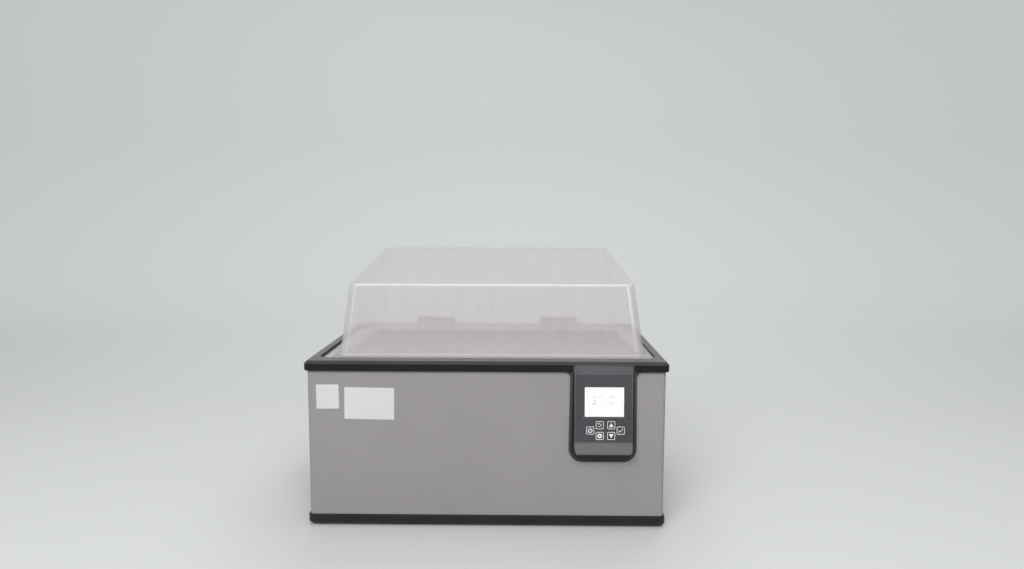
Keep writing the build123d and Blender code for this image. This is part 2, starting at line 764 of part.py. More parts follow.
def bath_tank():
    """Drawn stainless tank with the deck that lies in the rim's recess."""
    tank = slab(TANK_W + 2 * TANK_T, TANK_D + 2 * TANK_T, TANK_R + TANK_T, TANK_UNDER_Z, COVER_Z, RECESS_Y)
    tank = fillet(tank.faces().sort_by(Axis.Z)[0].edges(), TANK_FLOOR_R + TANK_T)
    tank += slab(
        RECESS_W - 2 * DECK_FIT, RECESS_D - 2 * DECK_FIT, RECESS_R - DECK_FIT, DECK_Z, COVER_Z, RECESS_Y
    )
    hollow = slab(TANK_W, TANK_D, TANK_R, TANK_FLOOR_Z, COVER_Z, RECESS_Y)
    hollow = fillet(hollow.faces().sort_by(Axis.Z)[0].edges(), TANK_FLOOR_R)
    tank -= hollow
    tank -= rod(DRAIN_BORE_R, TANK_UNDER_Z, TANK_FLOOR_Z, DRAIN_X, DRAIN_Y)
    for x in heater_ends():
        tank -= rod_y(HEATER_R, TANK_REAR_Y - TANK_FLOOR_R, TANK_REAR_Y + TANK_T, x, HEATER_Z)
    tank -= rod_y(PROBE_R, TANK_REAR_Y - TANK_FLOOR_R, TANK_REAR_Y + TANK_T, PROBE_X, PROBE_Z)
    return tank


def tank_gasket():
    """Flat seal between the rim's ledge and the tank's deck."""
    seal = slab(
        RECESS_W - 2 * DECK_FIT, RECESS_D - 2 * DECK_FIT, RECESS_R - DECK_FIT, LEDGE_Z, DECK_Z, RECESS_Y
    )
    return seal - slab(
        TANK_W + 2 * (TANK_T + TANK_GAP), TANK_D + 2 * (TANK_T + TANK_GAP), TANK_R + TANK_T,
        LEDGE_Z, DECK_Z, RECESS_Y,
    )


def tank_insulation():
    """Foam belt round the tank's walls."""
    inner = 2 * (TANK_T + SOFT_GAP)
    outer = inner + 2 * FOAM_T
    low = TANK_FLOOR_Z + TANK_FLOOR_R + GLAND_R
    high = SKIRT_Z - FOAM_TOP_GAP
    belt = slab(
        TANK_W + outer, TANK_D + outer, TANK_R + TANK_T + SOFT_GAP + FOAM_T, low, high, RECESS_Y
    )
    return belt - slab(
        TANK_W + inner, TANK_D + inner, TANK_R + TANK_T + SOFT_GAP, low, high, RECESS_Y
    )


# Clear cover


def dome_half_width(back, inset):
    """Half the dome's width at its foot, at a distance back from its front."""
    toe = math.radians(DOME_TOE_DEG)
    return DOME_W / 2 - back * math.tan(toe) - inset / math.cos(toe)


def dome_form(inset):
    """Dome with sides that toe in and a sloping roof; inset moves its faces in by the wall."""
    low = DOME_Y - DOME_D / 2 + inset
    high = DOME_Y + DOME_D / 2 - inset
    front = dome_half_width(inset, inset)
    rear = dome_half_width(DOME_D - inset, inset)
    plan = make_face(Polyline((-front, low), (front, low), (rear, high), (-rear, high), close=True))
    tall = DOME_FRONT_H + DOME_D
    form = Pos(COVER_X, 0, COVER_Z) * extrude(plan, tall, taper=DOME_DRAFT_DEG)
    roof = Plane(
        origin=(0, DOME_Y - DOME_D / 2, RIM_TOP_Z + DOME_FRONT_H - inset),
        x_dir=(1, 0, 0),
        z_dir=(0, -math.sin(math.radians(ROOF_SLOPE_DEG)), math.cos(math.radians(ROOF_SLOPE_DEG))),
    )
    form -= roof * Box(2 * FLANGE_W, 4 * FLANGE_D, 2 * tall, align=RISE)
    corners = [edge for edge in form.edges() if is_dome_corner(edge)]
    form = fillet(corners, DOME_R - inset)
    top = form.faces().sort_by(Axis.Z)[-1]
    return fillet(top.edges(), DOME_EDGE_R - inset)


def is_dome_corner(edge):
    """True for the four edges that rise from the dome's foot."""
    box = edge.bounding_box()
    return box.min.Z < COVER_Z + 1 and box.size.Z > 1


def dome_cover():
    """Formed clear cover: flange, raised dome and a soft bend where they meet."""
    flange = slab(FLANGE_W, FLANGE_D, FLANGE_R, COVER_Z, FLANGE_TOP_Z, RECESS_Y, COVER_X)
    cover = flange + dome_form(0)
    ring = [
        edge
        for edge in cover.edges()
        if abs(edge.center().Z - FLANGE_TOP_Z) < 0.01 and edge_inside_flange(edge)
    ]
    cover = fillet(ring, DOME_FOOT_R)
    return cover - dome_form(COVER_T)


def edge_inside_flange(edge):
    """True for the edges where the dome's wall stands on the flange."""
    box = edge.bounding_box()
    half = FLANGE_W / 2 - 2
    across = max(abs(box.min.X - COVER_X), abs(box.max.X - COVER_X))
    along = max(abs(box.min.Y - RECESS_Y), abs(box.max.Y - RECESS_Y))
    return across < half and along < FLANGE_D / 2 - 2


# Hinges


def hinge_block(x):
    """Moulded block on the rear rim: two ears with a gap for the leaf."""
    profile = Polyline(
        (HINGE_Y - BLOCK_D / 2, RIM_TOP_Z),
        (HINGE_Y + BLOCK_D / 2, RIM_TOP_Z),
        (HINGE_Y + BLOCK_D / 2, RIM_TOP_Z + BLOCK_BASE_T + BLOCK_LIP),
        (HINGE_Y + KNUCKLE_R + CROWN_SIDE, HINGE_Z + KNUCKLE_R),
        (HINGE_Y - KNUCKLE_R - CROWN_SIDE, HINGE_Z + KNUCKLE_R),
        (HINGE_Y - BLOCK_D / 2, RIM_TOP_Z + BLOCK_BASE_T + BLOCK_LIP),
        close=True,
    )
    block = Pos(x, 0, 0) * extrude(Plane.YZ * make_face(profile), HINGE_W / 2, both=True)
    crown = block.edges().filter_by(Axis.X).filter_by(lambda e: e.center().Z > HINGE_Z)
    block = fillet(crown, CROWN_R)
    gap = Box(HINGE_LEAF_W + 2 * SIDE_FIT, BLOCK_D + 2, 4 * KNUCKLE_R, align=RISE)
    block -= Pos(x, HINGE_Y, RIM_TOP_Z + BLOCK_BASE_T) * gap
    block -= rod_x(PIN_R, x - HINGE_W / 2 + RIM_WALL, x + HINGE_W / 2, HINGE_Y, HINGE_Z)
    for screw_x in hinge_screw_places(x):
        block -= hinge_screw(screw_x)
    return block


def hinge_screw(x):
    """Countersunk screw through the block's floor into the rim."""
    head_z = RIM_TOP_Z + BLOCK_BASE_T
    head_h = HINGE_SCREW_HEAD_R - HINGE_SCREW_R
    head = Pos(x, HINGE_Y, head_z - head_h) * Cone(
        HINGE_SCREW_R, HINGE_SCREW_HEAD_R, head_h, align=RISE
    )
    return rod(HINGE_SCREW_R, RIM_TOP_Z - RIM_WALL, head_z - head_h, x, HINGE_Y) + head


def hinge_screw_places(x):
    """Two screws in the floor of the block, under the leaf's knuckle."""
    return (x - HINGE_LEAF_W / 4, x + HINGE_LEAF_W / 4)


def hinge_pin(x):
    """Steel pin held in the block's ears."""
    return rod_x(PIN_R, x - HINGE_W / 2 + RIM_WALL, x + HINGE_W / 2, HINGE_Y, HINGE_Z)


def hinge_leaf(x):
    """Leaf on the cover's flange, rising over the rim to its knuckle."""
    low = FLANGE_TOP_Z
    start = FLANGE_REAR_Y - LEAF_REACH
    profile = Polyline(
        (start, low),
        (FLANGE_REAR_Y, low),
        (FLANGE_REAR_Y, low + LEAF_T / 2),
        (HINGE_Y - KNUCKLE_R + LEAF_NECK, HINGE_Z - KNUCKLE_R + LEAF_NECK),
        (HINGE_Y, HINGE_Z),
        (HINGE_Y - KNUCKLE_R + LEAF_NECK / 2, HINGE_Z + LEAF_T),
        (FLANGE_REAR_Y, low + LEAF_T + LEAF_NECK),
        (start, low + LEAF_T),
        close=True,
    )
    leaf = Pos(x, 0, 0) * extrude(Plane.YZ * make_face(profile), HINGE_LEAF_W / 2, both=True)
    leaf += rod_x(KNUCKLE_R, x - HINGE_LEAF_W / 2, x + HINGE_LEAF_W / 2, HINGE_Y, HINGE_Z)
    leaf -= rod_x(PIN_R + RUN_FIT, x - HINGE_LEAF_W / 2, x + HINGE_LEAF_W / 2, HINGE_Y, HINGE_Z)
    return leaf


def hinge_screws():
    """Countersunk screws that hold both blocks to the rim."""
    return Compound([hinge_screw(place) for x in HINGE_XS for place in hinge_screw_places(x)])


# Control pod contents


def display_bezel():
    """Dark overlay round the screen."""
    bezel = on_face(BEZEL_W, BEZEL_H, 0, -(BEZEL_TOP + BEZEL_H / 2), -OVERLAY_T, 0)
    return bezel - on_face(SCREEN_W, SCREEN_H, SCREEN_X, SCREEN_MID, -OVERLAY_T, 0)


def display_window():
    """Clear pane set flush in the bezel."""
    return on_face(SCREEN_W, SCREEN_H, SCREEN_X, SCREEN_MID, -OVERLAY_T, -OVERLAY_T / 4)


def lcd_module():
    """Display glass and its frame behind the window."""
    return on_face(
        SCREEN_W + 2 * LCD_BORDER, SCREEN_H + 2 * LCD_BORDER, SCREEN_X, SCREEN_MID,
        -OVERLAY_T - LCD_T, -OVERLAY_T,
    )


def keypad_plate():
    """Plate under the screen with six square key holes."""
    plate = on_face(BEZEL_W, KEYPAD_H, 0, -(KEYPAD_TOP + KEYPAD_H / 2), -OVERLAY_T, 0)
    hole = KEY_SIDE + 2 * KEY_FIT
    for u, v in KEYS.values():
        plate -= on_face(hole, hole, u, v, -OVERLAY_T, 0)
    return plate


def key(u, v):
    """Square key whose flange is held behind the plate."""
    cap = on_face(KEY_SIDE, KEY_SIDE, u, v, -OVERLAY_T, KEY_PROUD)
    side = KEY_SIDE + 2 * KEY_FLANGE
    return cap + on_face(side, side, u, v, -OVERLAY_T - KEY_FLANGE_T, -OVERLAY_T)


def control_board():
    """Circuit board across the pod with a switch under each key."""
    back = -OVERLAY_T - KEY_FLANGE_T - KEY_STROKE - SWITCH_PLAY
    board_front = back - SWITCH_H
    width = BEZEL_W - 2 * BOARD_MARGIN
    height = KEYPAD_H - 2 * BOARD_MARGIN
    middle = -(KEYPAD_TOP + KEYPAD_H / 2)
    board = on_face(width, height, 0, middle, board_front - BOARD_T, board_front)
    for u, v in KEYS.values():
        board += on_face(SWITCH_SIDE, SWITCH_SIDE, u, v, board_front, back)
    return board


# Pump


def motor_bracket():
    """Plate with a hole for the motor's nose, on four legs welded under the tank."""
    top = BRACKET_TOP_Z
    bracket = slab(BRACKET_SIDE, BRACKET_SIDE, LEG_INSET, top - BRACKET_T, top, PUMP_Y, PUMP_X)
    reach = BRACKET_SIDE / 2 - LEG_INSET
    for i in (-1, 1):
        for j in (-1, 1):
            bracket += hex_rod(LEG_R, top, TANK_UNDER_Z, PUMP_X + i * reach, PUMP_Y + j * reach)
    return bracket - rod(MOTOR_BOSS_R + GROOVE_FIT, top - BRACKET_T, top, PUMP_X, PUMP_Y)


def pump_motor():
    """Motor can under the bracket, with its nose and the shaft's bore."""
    top = BRACKET_TOP_Z - BRACKET_T
    motor = rod(MOTOR_R, top - MOTOR_H, top, PUMP_X, PUMP_Y)
    motor = chamfer(motor.faces().sort_by(Axis.Z)[0].edges(), MOTOR_EDGE)
    motor += rod(MOTOR_BOSS_R, top, top + BRACKET_T + MOTOR_BOSS_H - BOSS_STEP, PUMP_X, PUMP_Y)
    return motor - rod(SHAFT_R + RUN_FIT, top - SHAFT_DEPTH, BRACKET_TOP_Z + MOTOR_BOSS_H, PUMP_X, PUMP_Y)


def motor_shaft():
    """Shaft from inside the motor to the top of the drive magnet."""
    tip = TANK_UNDER_Z - MAGNET_GAP - SHAFT_COVER
    return rod(SHAFT_R, BRACKET_TOP_Z - BRACKET_T - SHAFT_DEPTH, tip, PUMP_X, PUMP_Y)


def drive_magnet():
    """Magnet holder on the shaft, spinning just under the tank's floor."""
    top = TANK_UNDER_Z - MAGNET_GAP
    magnet = rod(MAGNET_R, top - MAGNET_T, top, PUMP_X, PUMP_Y)
    return magnet - rod(SHAFT_R, top - MAGNET_T, top - SHAFT_COVER, PUMP_X, PUMP_Y)


def impeller():
    """Disc with its own magnets and six curved blades, turning on the axle."""
    low = TANK_FLOOR_Z + IMPELLER_LIFT
    disc = rod(IMPELLER_R, low, low + IMPELLER_H / 3, PUMP_X, PUMP_Y)
    wheel = disc + rod(HUB_R, low, low + IMPELLER_H + HUB_RISE, PUMP_X, PUMP_Y)
    middle = (HUB_R + IMPELLER_R) / 2
    tip = IMPELLER_R - BLADE_TIP
    centre_line = ThreePointArc((HUB_R - BLADE_ROOT, 0), (middle, BLADE_BOW), (tip, BLADE_SWEEP))
    blade = extrude(trace(centre_line, BLADE_T), IMPELLER_H)
    for n in range(BLADES):
        wheel += Pos(PUMP_X, PUMP_Y, low) * Rot(0, 0, n * 360 / BLADES) * blade
    return wheel - rod(AXLE_R + RUN_FIT, low, low + 2 * IMPELLER_H, PUMP_X, PUMP_Y)


def pump_guard():
    """Inverted cup over the impeller with a suction eye and side outlets."""
    low = TANK_FLOOR_Z
    guard = rod(PUMP_GUARD_R, low, low + PUMP_GUARD_H, PUMP_X, PUMP_Y)
    guard = chamfer(guard.faces().sort_by(Axis.Z)[-1].edges(), PUMP_GUARD_EDGE)
    room = rod(PUMP_GUARD_R - PUMP_GUARD_T, low, low + PUMP_GUARD_H - PUMP_GUARD_T, PUMP_X, PUMP_Y)
    guard -= chamfer(room.faces().sort_by(Axis.Z)[-1].edges(), PUMP_GUARD_EDGE)
    guard -= rod(EYE_R, low, low + 2 * PUMP_GUARD_H, PUMP_X, PUMP_Y)
    port = Pos(PUMP_GUARD_R, 0, 0) * Box(PUMP_GUARD_R, PORT_W, PUMP_GUARD_H / 2, align=RISE)
    for n in range(4):
        guard -= Pos(PUMP_X, PUMP_Y, low + PORT_SILL) * Rot(0, 0, 45 + 90 * n) * port
    return guard


def pump_axle():
    """Pin on the tank's floor that the impeller turns on."""
    return rod(AXLE_R, TANK_FLOOR_Z, TANK_FLOOR_Z + AXLE_H, PUMP_X, PUMP_Y)


def axle_clip():
    """Collar that keeps the impeller on its axle."""
    low = TANK_FLOOR_Z + IMPELLER_LIFT + IMPELLER_H + HUB_RISE + SOFT_GAP
    collar = rod(AXLE_R + CLIP_WALL, low, low + CLIP_H, PUMP_X, PUMP_Y)
    return collar - rod(AXLE_R, low, low + CLIP_H, PUMP_X, PUMP_Y)


# Heater, probe and tray


def heater_ends():
    """The two legs of the heater that pass through the rear wall."""
    return (HEATER_X, HEATER_X + HEATER_PITCH)


def heater_element():
    """Tubular element bent into a long hairpin over the floor."""
    end_y = TANK_REAR_Y + TANK_T + HEATER_TAIL
    turn_y = TANK_FRONT_Y + HEATER_FRONT_GAP
    left, right = heater_ends()
    path = FilletPolyline(
        (left, end_y, HEATER_Z),
        (left, turn_y, HEATER_Z),
        (right, turn_y, HEATER_Z),
        (right, end_y, HEATER_Z),
        radius=HEATER_BEND_R,
    )
    section = Plane(origin=path @ 0, z_dir=path % 0) * Circle(HEATER_R)
    return sweep(section, path=path)


def heater_glands():
    """Nuts that clamp the heater's two ends in the tank's wall."""
    nuts = []
    for x in heater_ends():
        nut = Pos(x, TANK_REAR_Y + TANK_T, HEATER_Z) * Rot(-90, 0, 0) * extrude(
            RegularPolygon(GLAND_R, 6), GLAND_H
        )
        nuts.append(nut - rod_y(HEATER_R, TANK_REAR_Y, TANK_REAR_Y + TANK_T + GLAND_H, x, HEATER_Z))
    return Compound(nuts)


def temperature_probe():
    """Sheathed sensor that reaches in through the rear wall, under the tray."""
    tip_y = TANK_REAR_Y - PROBE_LEN
    probe = rod_y(PROBE_R, tip_y, TANK_REAR_Y + TANK_T + PROBE_TAIL, PROBE_X, PROBE_Z)
    return chamfer(probe.faces().sort_by(Axis.Y)[0].edges(), PROBE_TIP)


def probe_gland():
    """Nut round the probe outside the tank."""
    start = TANK_REAR_Y + TANK_T
    nut = Pos(PROBE_X, start, PROBE_Z) * Rot(-90, 0, 0) * extrude(RegularPolygon(GLAND_R - 1, 6), GLAND_H)
    return nut - rod_y(PROBE_R, start, start + GLAND_H, PROBE_X, PROBE_Z)


def diffuser_tray():
    """Perforated false floor with its two ends folded down as legs."""
    top = TANK_FLOOR_Z + TRAY_H
    outer = Pos(0, TRAY_Y, TANK_FLOOR_Z) * Box(TRAY_W, TRAY_D, TRAY_H, align=RISE)
    bends = outer.edges().filter_by(Axis.Y).sort_by(Axis.Z)[-2:]
    outer = fillet(bends, TRAY_BEND_R)
    inner = Pos(0, TRAY_Y, TANK_FLOOR_Z) * Box(
        TRAY_W - 2 * TRAY_T, TRAY_D, TRAY_H - TRAY_T, align=RISE
    )
    bends = inner.edges().filter_by(Axis.Y).sort_by(Axis.Z)[-2:]
    tray = outer - fillet(bends, TRAY_BEND_R - TRAY_T)
    hole = rod(TRAY_HOLE_R, top - 2 * TRAY_T, top + TRAY_T)
    grid = GridLocations(TRAY_PITCH_X, TRAY_PITCH_Y, TRAY_COLUMNS, TRAY_ROWS)
    holes = [Pos(0, TRAY_Y, 0) * place * hole for place in grid]
    return tray - holes


# Drain


def drain_pipe():
    """Tube from the tank's floor, down and back through the rear panel."""
    path = FilletPolyline(
        (DRAIN_X, DRAIN_Y, TANK_UNDER_Z),
        (DRAIN_X, DRAIN_Y, DRAIN_Z),
        (DRAIN_X, VALVE_Y - VALVE_R, DRAIN_Z),
        radius=DRAIN_BEND_R,
    )
    start = Plane(origin=path @ 0, z_dir=path % 0)
    tube = sweep(start * Circle(DRAIN_R), path=path)
    return tube - sweep(start * Circle(DRAIN_BORE_R), path=path)


def drain_nut():
    """Nut under the tank's floor round the drain."""
    nut = hex_rod(DRAIN_NUT_R, TANK_UNDER_Z - DRAIN_NUT_H, TANK_UNDER_Z, DRAIN_X, DRAIN_Y)
    return nut - rod(DRAIN_R, TANK_UNDER_Z - DRAIN_NUT_H, TANK_UNDER_Z, DRAIN_X, DRAIN_Y)


def drain_valve():
    """Quarter-turn valve across the end of the pipe, with a hose barb to the left."""
    left = DRAIN_X - VALVE_LEN / 2
    body = rod_x(VALVE_R, left, DRAIN_X + VALVE_LEN / 2, VALVE_Y, DRAIN_Z)
    body += rod_x(BARB_R, left - BARB_LEN, left, VALVE_Y, DRAIN_Z)
    ridge = Rot(0, 90, 0) * Cone(BARB_TIP_R, BARB_R, BARB_RIDGE, align=RISE)
    for n in range(BARB_RIDGES):
        body += Pos(left - BARB_LEN + BARB_START + n * BARB_PITCH, VALVE_Y, DRAIN_Z) * ridge
    body += rod_y(DRAIN_R + VALVE_COLLAR, WRAP_REAR_Y, VALVE_Y, DRAIN_X, DRAIN_Z)
    body += rod_y(STEM_R, VALVE_Y, VALVE_Y + VALVE_R + STEM_H, DRAIN_X, DRAIN_Z)
    body -= rod_x(DRAIN_BORE_R - 1, left - BARB_LEN, DRAIN_X, VALVE_Y, DRAIN_Z)
    body -= rod_y(DRAIN_R, WRAP_REAR_Y, VALVE_Y - VALVE_R, DRAIN_X, DRAIN_Z)
    body -= rod_y(DRAIN_BORE_R, VALVE_Y - VALVE_R, VALVE_Y, DRAIN_X, DRAIN_Z)
    return body


def drain_handle():
    """Lever on the valve's stem; it stands up when the valve is shut."""
    low = VALVE_Y + VALVE_R + STEM_H
    outline = Pos(0, (HANDLE_LEN - HANDLE_W) / 2) * SlotOverall(HANDLE_LEN, HANDLE_W, rotation=90)
    plane = Plane(origin=(DRAIN_X, low, DRAIN_Z), x_dir=(-1, 0, 0), z_dir=(0, 1, 0))
    return extrude(plane * outline, HANDLE_T)


# Power entry, safety dial and power electronics


def power_inlet():
    """Three-pole inlet with its flange and recess."""
    flange = Box(INLET_W, INLET_FLANGE_T, INLET_H, align=TO_REAR)
    flange = fillet(flange.edges().filter_by(Axis.Y), INLET_CORNER_R)
    inlet = Pos(INLET_X, PANEL_OUT_Y, INLET_Z) * flange
    body = Box(INLET_BODY_W, INLET_BODY_D, INLET_BODY_H, align=TO_FRONT)
    inlet += Pos(INLET_X, PANEL_OUT_Y, INLET_Z) * body
    socket = Box(SOCKET_W, SOCKET_D, SOCKET_H, align=TO_FRONT)
    upper = socket.edges().filter_by(Axis.Y).sort_by(Axis.Z)[-2:]
    socket = chamfer(upper, SOCKET_CHAMFER)
    inlet -= Pos(INLET_X, PANEL_OUT_Y + INLET_FLANGE_T, INLET_Z) * socket
    for x, z in inlet_screw_places():
        inlet -= rod_y(PANEL_SCREW_R, PANEL_OUT_Y, PANEL_OUT_Y + INLET_FLANGE_T, x, z)
    return inlet


def inlet_screw_places():
    """The inlet's two flange screws."""
    return [(INLET_X + side * (INLET_W - INLET_EAR) / 2, INLET_Z) for side in (-1, 1)]


def inlet_pins():
    """Three blades in the inlet's recess."""
    back = PANEL_OUT_Y + INLET_FLANGE_T - SOCKET_D
    blades = []
    for n in (-1, 0, 1):
        blade = Box(BLADE_PIN_W, BLADE_PIN_LEN, BLADE_PIN_H, align=TO_REAR)
        rise = BLADE_PIN_Z * (1 - 2 * abs(n))
        blades.append(Pos(INLET_X + n * BLADE_PIN_X, back, INLET_Z + rise) * blade)
    return Compound(blades)


def fuse_holder():
    """Round fuse holder with a slotted cap."""
    face_y = PANEL_OUT_Y + FUSE_PROUD
    holder = rod_y(FUSE_CAP_R, PANEL_IN_Y - FUSE_D, PANEL_OUT_Y, FUSE_X, INLET_Z)
    holder += rod_y(FUSE_R, PANEL_OUT_Y, face_y, FUSE_X, INLET_Z)
    slot = Box(FUSE_R, 2 * FUSE_SLOT_D, FUSE_SLOT_W)
    return holder - Pos(FUSE_X, face_y, INLET_Z) * slot


def switch_body():
    """Frame of the mains switch, open where the rocker tilts."""
    lip = Box(SWITCH_W, SWITCH_LIP_T, SWITCH_TALL, align=TO_REAR)
    body = Box(SWITCH_W - 2 * SWITCH_LIP_W, SWITCH_D, SWITCH_TALL - 2 * SWITCH_LIP_W, align=TO_FRONT)
    frame = Pos(SWITCH_X, PANEL_OUT_Y, INLET_Z) * (lip + body)
    well = Box(ROCKER_W + 2 * KEY_FIT, 2 * WELL_D, ROCKER_TALL + 2 * WELL_END)
    return frame - Pos(SWITCH_X, PANEL_OUT_Y, INLET_Z) * well


def power_rocker():
    """Rocker with two faces, tilted to its on side."""
    half = ROCKER_TALL / 2
    tilt = math.radians(ROCKER_TILT_DEG)
    rise = half * math.tan(tilt)
    face = SWITCH_LIP_T + ROCKER_AXLE_DEPTH + ROCKER_PROUD
    profile = Polyline(
        (0, face),
        (half, face + rise),
        (half, face - ROCKER_SKIRT),
        (ROCKER_SKIRT, -ROCKER_KEEL),
        (-ROCKER_SKIRT, -ROCKER_KEEL),
        (-half, face - ROCKER_SKIRT),
        (-half, face + rise),
        close=True,
    )
    plane = Plane(origin=(SWITCH_X, ROCKER_Y, INLET_Z), x_dir=(0, 0, 1), z_dir=(-1, 0, 0))
    rocker = extrude(plane * make_face(profile), ROCKER_W / 2, both=True)
    spin = Axis((SWITCH_X, ROCKER_Y, INLET_Z), (1, 0, 0))
    return rocker.rotate(spin, ROCKER_TILT_DEG)


def limiter():
    """Over-temperature cut-out behind the rear panel, with its threaded nose."""
    body = Box(LIMITER_SIDE, LIMITER_D, LIMITER_SIDE, align=TO_FRONT)
    cut_out = Pos(DIAL_X, PANEL_IN_Y, INLET_Z) * body
    cut_out += rod_y(DIAL_SHAFT_R + NOSE_WALL, PANEL_IN_Y, PANEL_OUT_Y, DIAL_X, INLET_Z)
    return cut_out - rod_y(DIAL_SHAFT_R + RUN_FIT, PANEL_IN_Y - DIAL_SHAFT_IN, PANEL_OUT_Y, DIAL_X, INLET_Z)


def safety_dial():
    """Knob with its shaft and a pointer ridge."""
    start = PANEL_OUT_Y + DIAL_GAP
    dial = rod_y(DIAL_R, start, start + DIAL_H, DIAL_X, INLET_Z)
    dial = chamfer(dial.faces().sort_by(Axis.Y)[-1].edges(), DIAL_EDGE)
    ridge = Box(DIAL_RIDGE_W, 2 * DIAL_RIDGE_H, 2 * (DIAL_R - DIAL_EDGE))
    dial += Pos(DIAL_X, start + DIAL_H, INLET_Z) * ridge
    return dial + rod_y(DIAL_SHAFT_R, PANEL_IN_Y - DIAL_SHAFT_IN, start, DIAL_X, INLET_Z)


def supply_board():
    """Power board on four stand-offs, with its relays and capacitors."""
    low = BASE_FLOOR_Z + STANDOFF_H
    top = low + BOARD_T
    board = slab(SUPPLY_W, SUPPLY_D, SUPPLY_CORNER_R, low, top, SUPPLY_Y, SUPPLY_X)
    relay = Box(RELAY_W, RELAY_D, RELAY_H, align=RISE)
    for n in range(RELAYS):
        board += Pos(SUPPLY_X + RELAY_X + n * RELAY_PITCH, SUPPLY_Y + RELAY_Y, top) * relay
    for n in range(CAPACITORS):
        x = SUPPLY_X + CAPACITOR_X + n * CAPACITOR_PITCH
        board += rod(CAPACITOR_R, top, top + CAPACITOR_H, x, SUPPLY_Y + CAPACITOR_Y)
    return board


def standoffs():
    """Hexagonal pillars on the base under the corners of the power board."""
    pillars = []
    for i in (-1, 1):
        for j in (-1, 1):
            x = SUPPLY_X + i * (SUPPLY_W / 2 - STANDOFF_INSET)
            y = SUPPLY_Y + j * (SUPPLY_D / 2 - STANDOFF_INSET)
            pillars.append(hex_rod(STANDOFF_R, BASE_FLOOR_Z, BASE_FLOOR_Z + STANDOFF_H, x, y))
    return Compound(pillars)


def transformer():
    """Laminated core with its winding, standing on the board."""
    low = BASE_FLOOR_Z + STANDOFF_H + BOARD_T
    core = Box(CORE_W, CORE_D / 2, CORE_H, align=RISE)
    winding = Box(CORE_W - 2 * WINDING_SIDE, CORE_D, CORE_H - 2 * WINDING_END)
    winding = Pos(0, 0, CORE_H / 2) * fillet(winding.edges().filter_by(Axis.X), WINDING_R)
    return Pos(SUPPLY_X + SUPPLY_W / 2 - CORE_W / 2 - CORE_MARGIN, SUPPLY_Y, low) * (core + winding)


def heat_sink():
    """Finned block for the heater's solid-state relay."""
    sink = Box(SINK_W, SINK_D, SINK_BASE_T, align=RISE)
    pitch = (SINK_W - SINK_FIN_T) / (SINK_FINS - 1)
    for n in range(SINK_FINS):
        x = -SINK_W / 2 + SINK_FIN_T / 2 + n * pitch
        sink += Pos(x, 0, SINK_BASE_T) * Box(SINK_FIN_T, SINK_D, SINK_FIN_H, align=RISE)
    return Pos(SINK_X, SUPPLY_Y, BASE_FLOOR_Z) * sink


parts = {
    "top_frame": top_frame(),
    "case_wrap": case_wrap(),
    "rear_panel": rear_panel(),
    "base_tray": base_tray(),
    "tie_rods": tie_rods(),
    "rear_panel_screws": rear_panel_screws(),
    "bath_tank": bath_tank(),
    "tank_gasket": tank_gasket(),
    "tank_insulation": tank_insulation(),
    "dome_cover": dome_cover(),
    "hinge_screws": hinge_screws(),
    "display_bezel": display_bezel(),
    "display_window": display_window(),
    "lcd_module": lcd_module(),
    "keypad_plate": keypad_plate(),
    "control_board": control_board(),
    "motor_bracket": motor_bracket(),
    "pump_motor": pump_motor(),
    "motor_shaft": motor_shaft(),
    "drive_magnet": drive_magnet(),
    "impeller": impeller(),
    "pump_guard": pump_guard(),
    "pump_axle": pump_axle(),
    "axle_clip": axle_clip(),
    "heater_element": heater_element(),
    "heater_glands": heater_glands(),
    "temperature_probe": temperature_probe(),
    "probe_gland": probe_gland(),
    "diffuser_tray": diffuser_tray(),
    "drain_pipe": drain_pipe(),
    "drain_nut": drain_nut(),
    "drain_valve": drain_valve(),
    "drain_handle": drain_handle(),
    "power_inlet": power_inlet(),
    "inlet_pins": inlet_pins(),
    "fuse_holder": fuse_holder(),
    "switch_body": switch_body(),
    "power_rocker": power_rocker(),
    "limiter": limiter(),
    "safety_dial": safety_dial(),
    "supply_board": supply_board(),
    "standoffs": standoffs(),
    "transformer": transformer(),
    "heat_sink": heat_sink(),
}
for side, x in zip(("left", "right"), HINGE_XS):
    parts[f"hinge_block_{side}"] = hinge_block(x)
    parts[f"hinge_pin_{side}"] = hinge_pin(x)
    parts[f"hinge_leaf_{side}"] = hinge_leaf(x)
for place, (x, y) in foot_places().items():
    parts[f"foot_{place}"] = rubber_foot(x, y)
for name, (u, v) in KEYS.items():
    parts[name] = key(u, v)

os.makedirs("parts", exist_ok=True)
for name, shape in parts.items():
    export_step(shape, f"parts/{name}.step")
    print(name, len(shape.solids()), round(sum(s.volume for s in shape.solids())))
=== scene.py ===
import json
import math

import bmesh
import bpy
from mathutils import Matrix, Vector


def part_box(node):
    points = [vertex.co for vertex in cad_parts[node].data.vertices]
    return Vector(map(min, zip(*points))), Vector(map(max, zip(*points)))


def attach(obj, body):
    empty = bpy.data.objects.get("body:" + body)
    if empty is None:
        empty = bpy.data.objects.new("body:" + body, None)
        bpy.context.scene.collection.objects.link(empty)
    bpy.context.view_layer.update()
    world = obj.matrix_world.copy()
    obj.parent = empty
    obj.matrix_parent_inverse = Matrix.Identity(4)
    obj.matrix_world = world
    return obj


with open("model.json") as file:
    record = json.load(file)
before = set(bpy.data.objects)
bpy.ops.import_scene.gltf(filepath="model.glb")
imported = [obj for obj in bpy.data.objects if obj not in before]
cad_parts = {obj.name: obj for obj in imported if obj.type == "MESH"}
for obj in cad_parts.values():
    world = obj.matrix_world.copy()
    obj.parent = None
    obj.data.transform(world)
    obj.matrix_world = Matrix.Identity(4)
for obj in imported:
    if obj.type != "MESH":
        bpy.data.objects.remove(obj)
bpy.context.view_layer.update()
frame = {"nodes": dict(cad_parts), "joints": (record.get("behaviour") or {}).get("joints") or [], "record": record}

nodes = frame["nodes"]

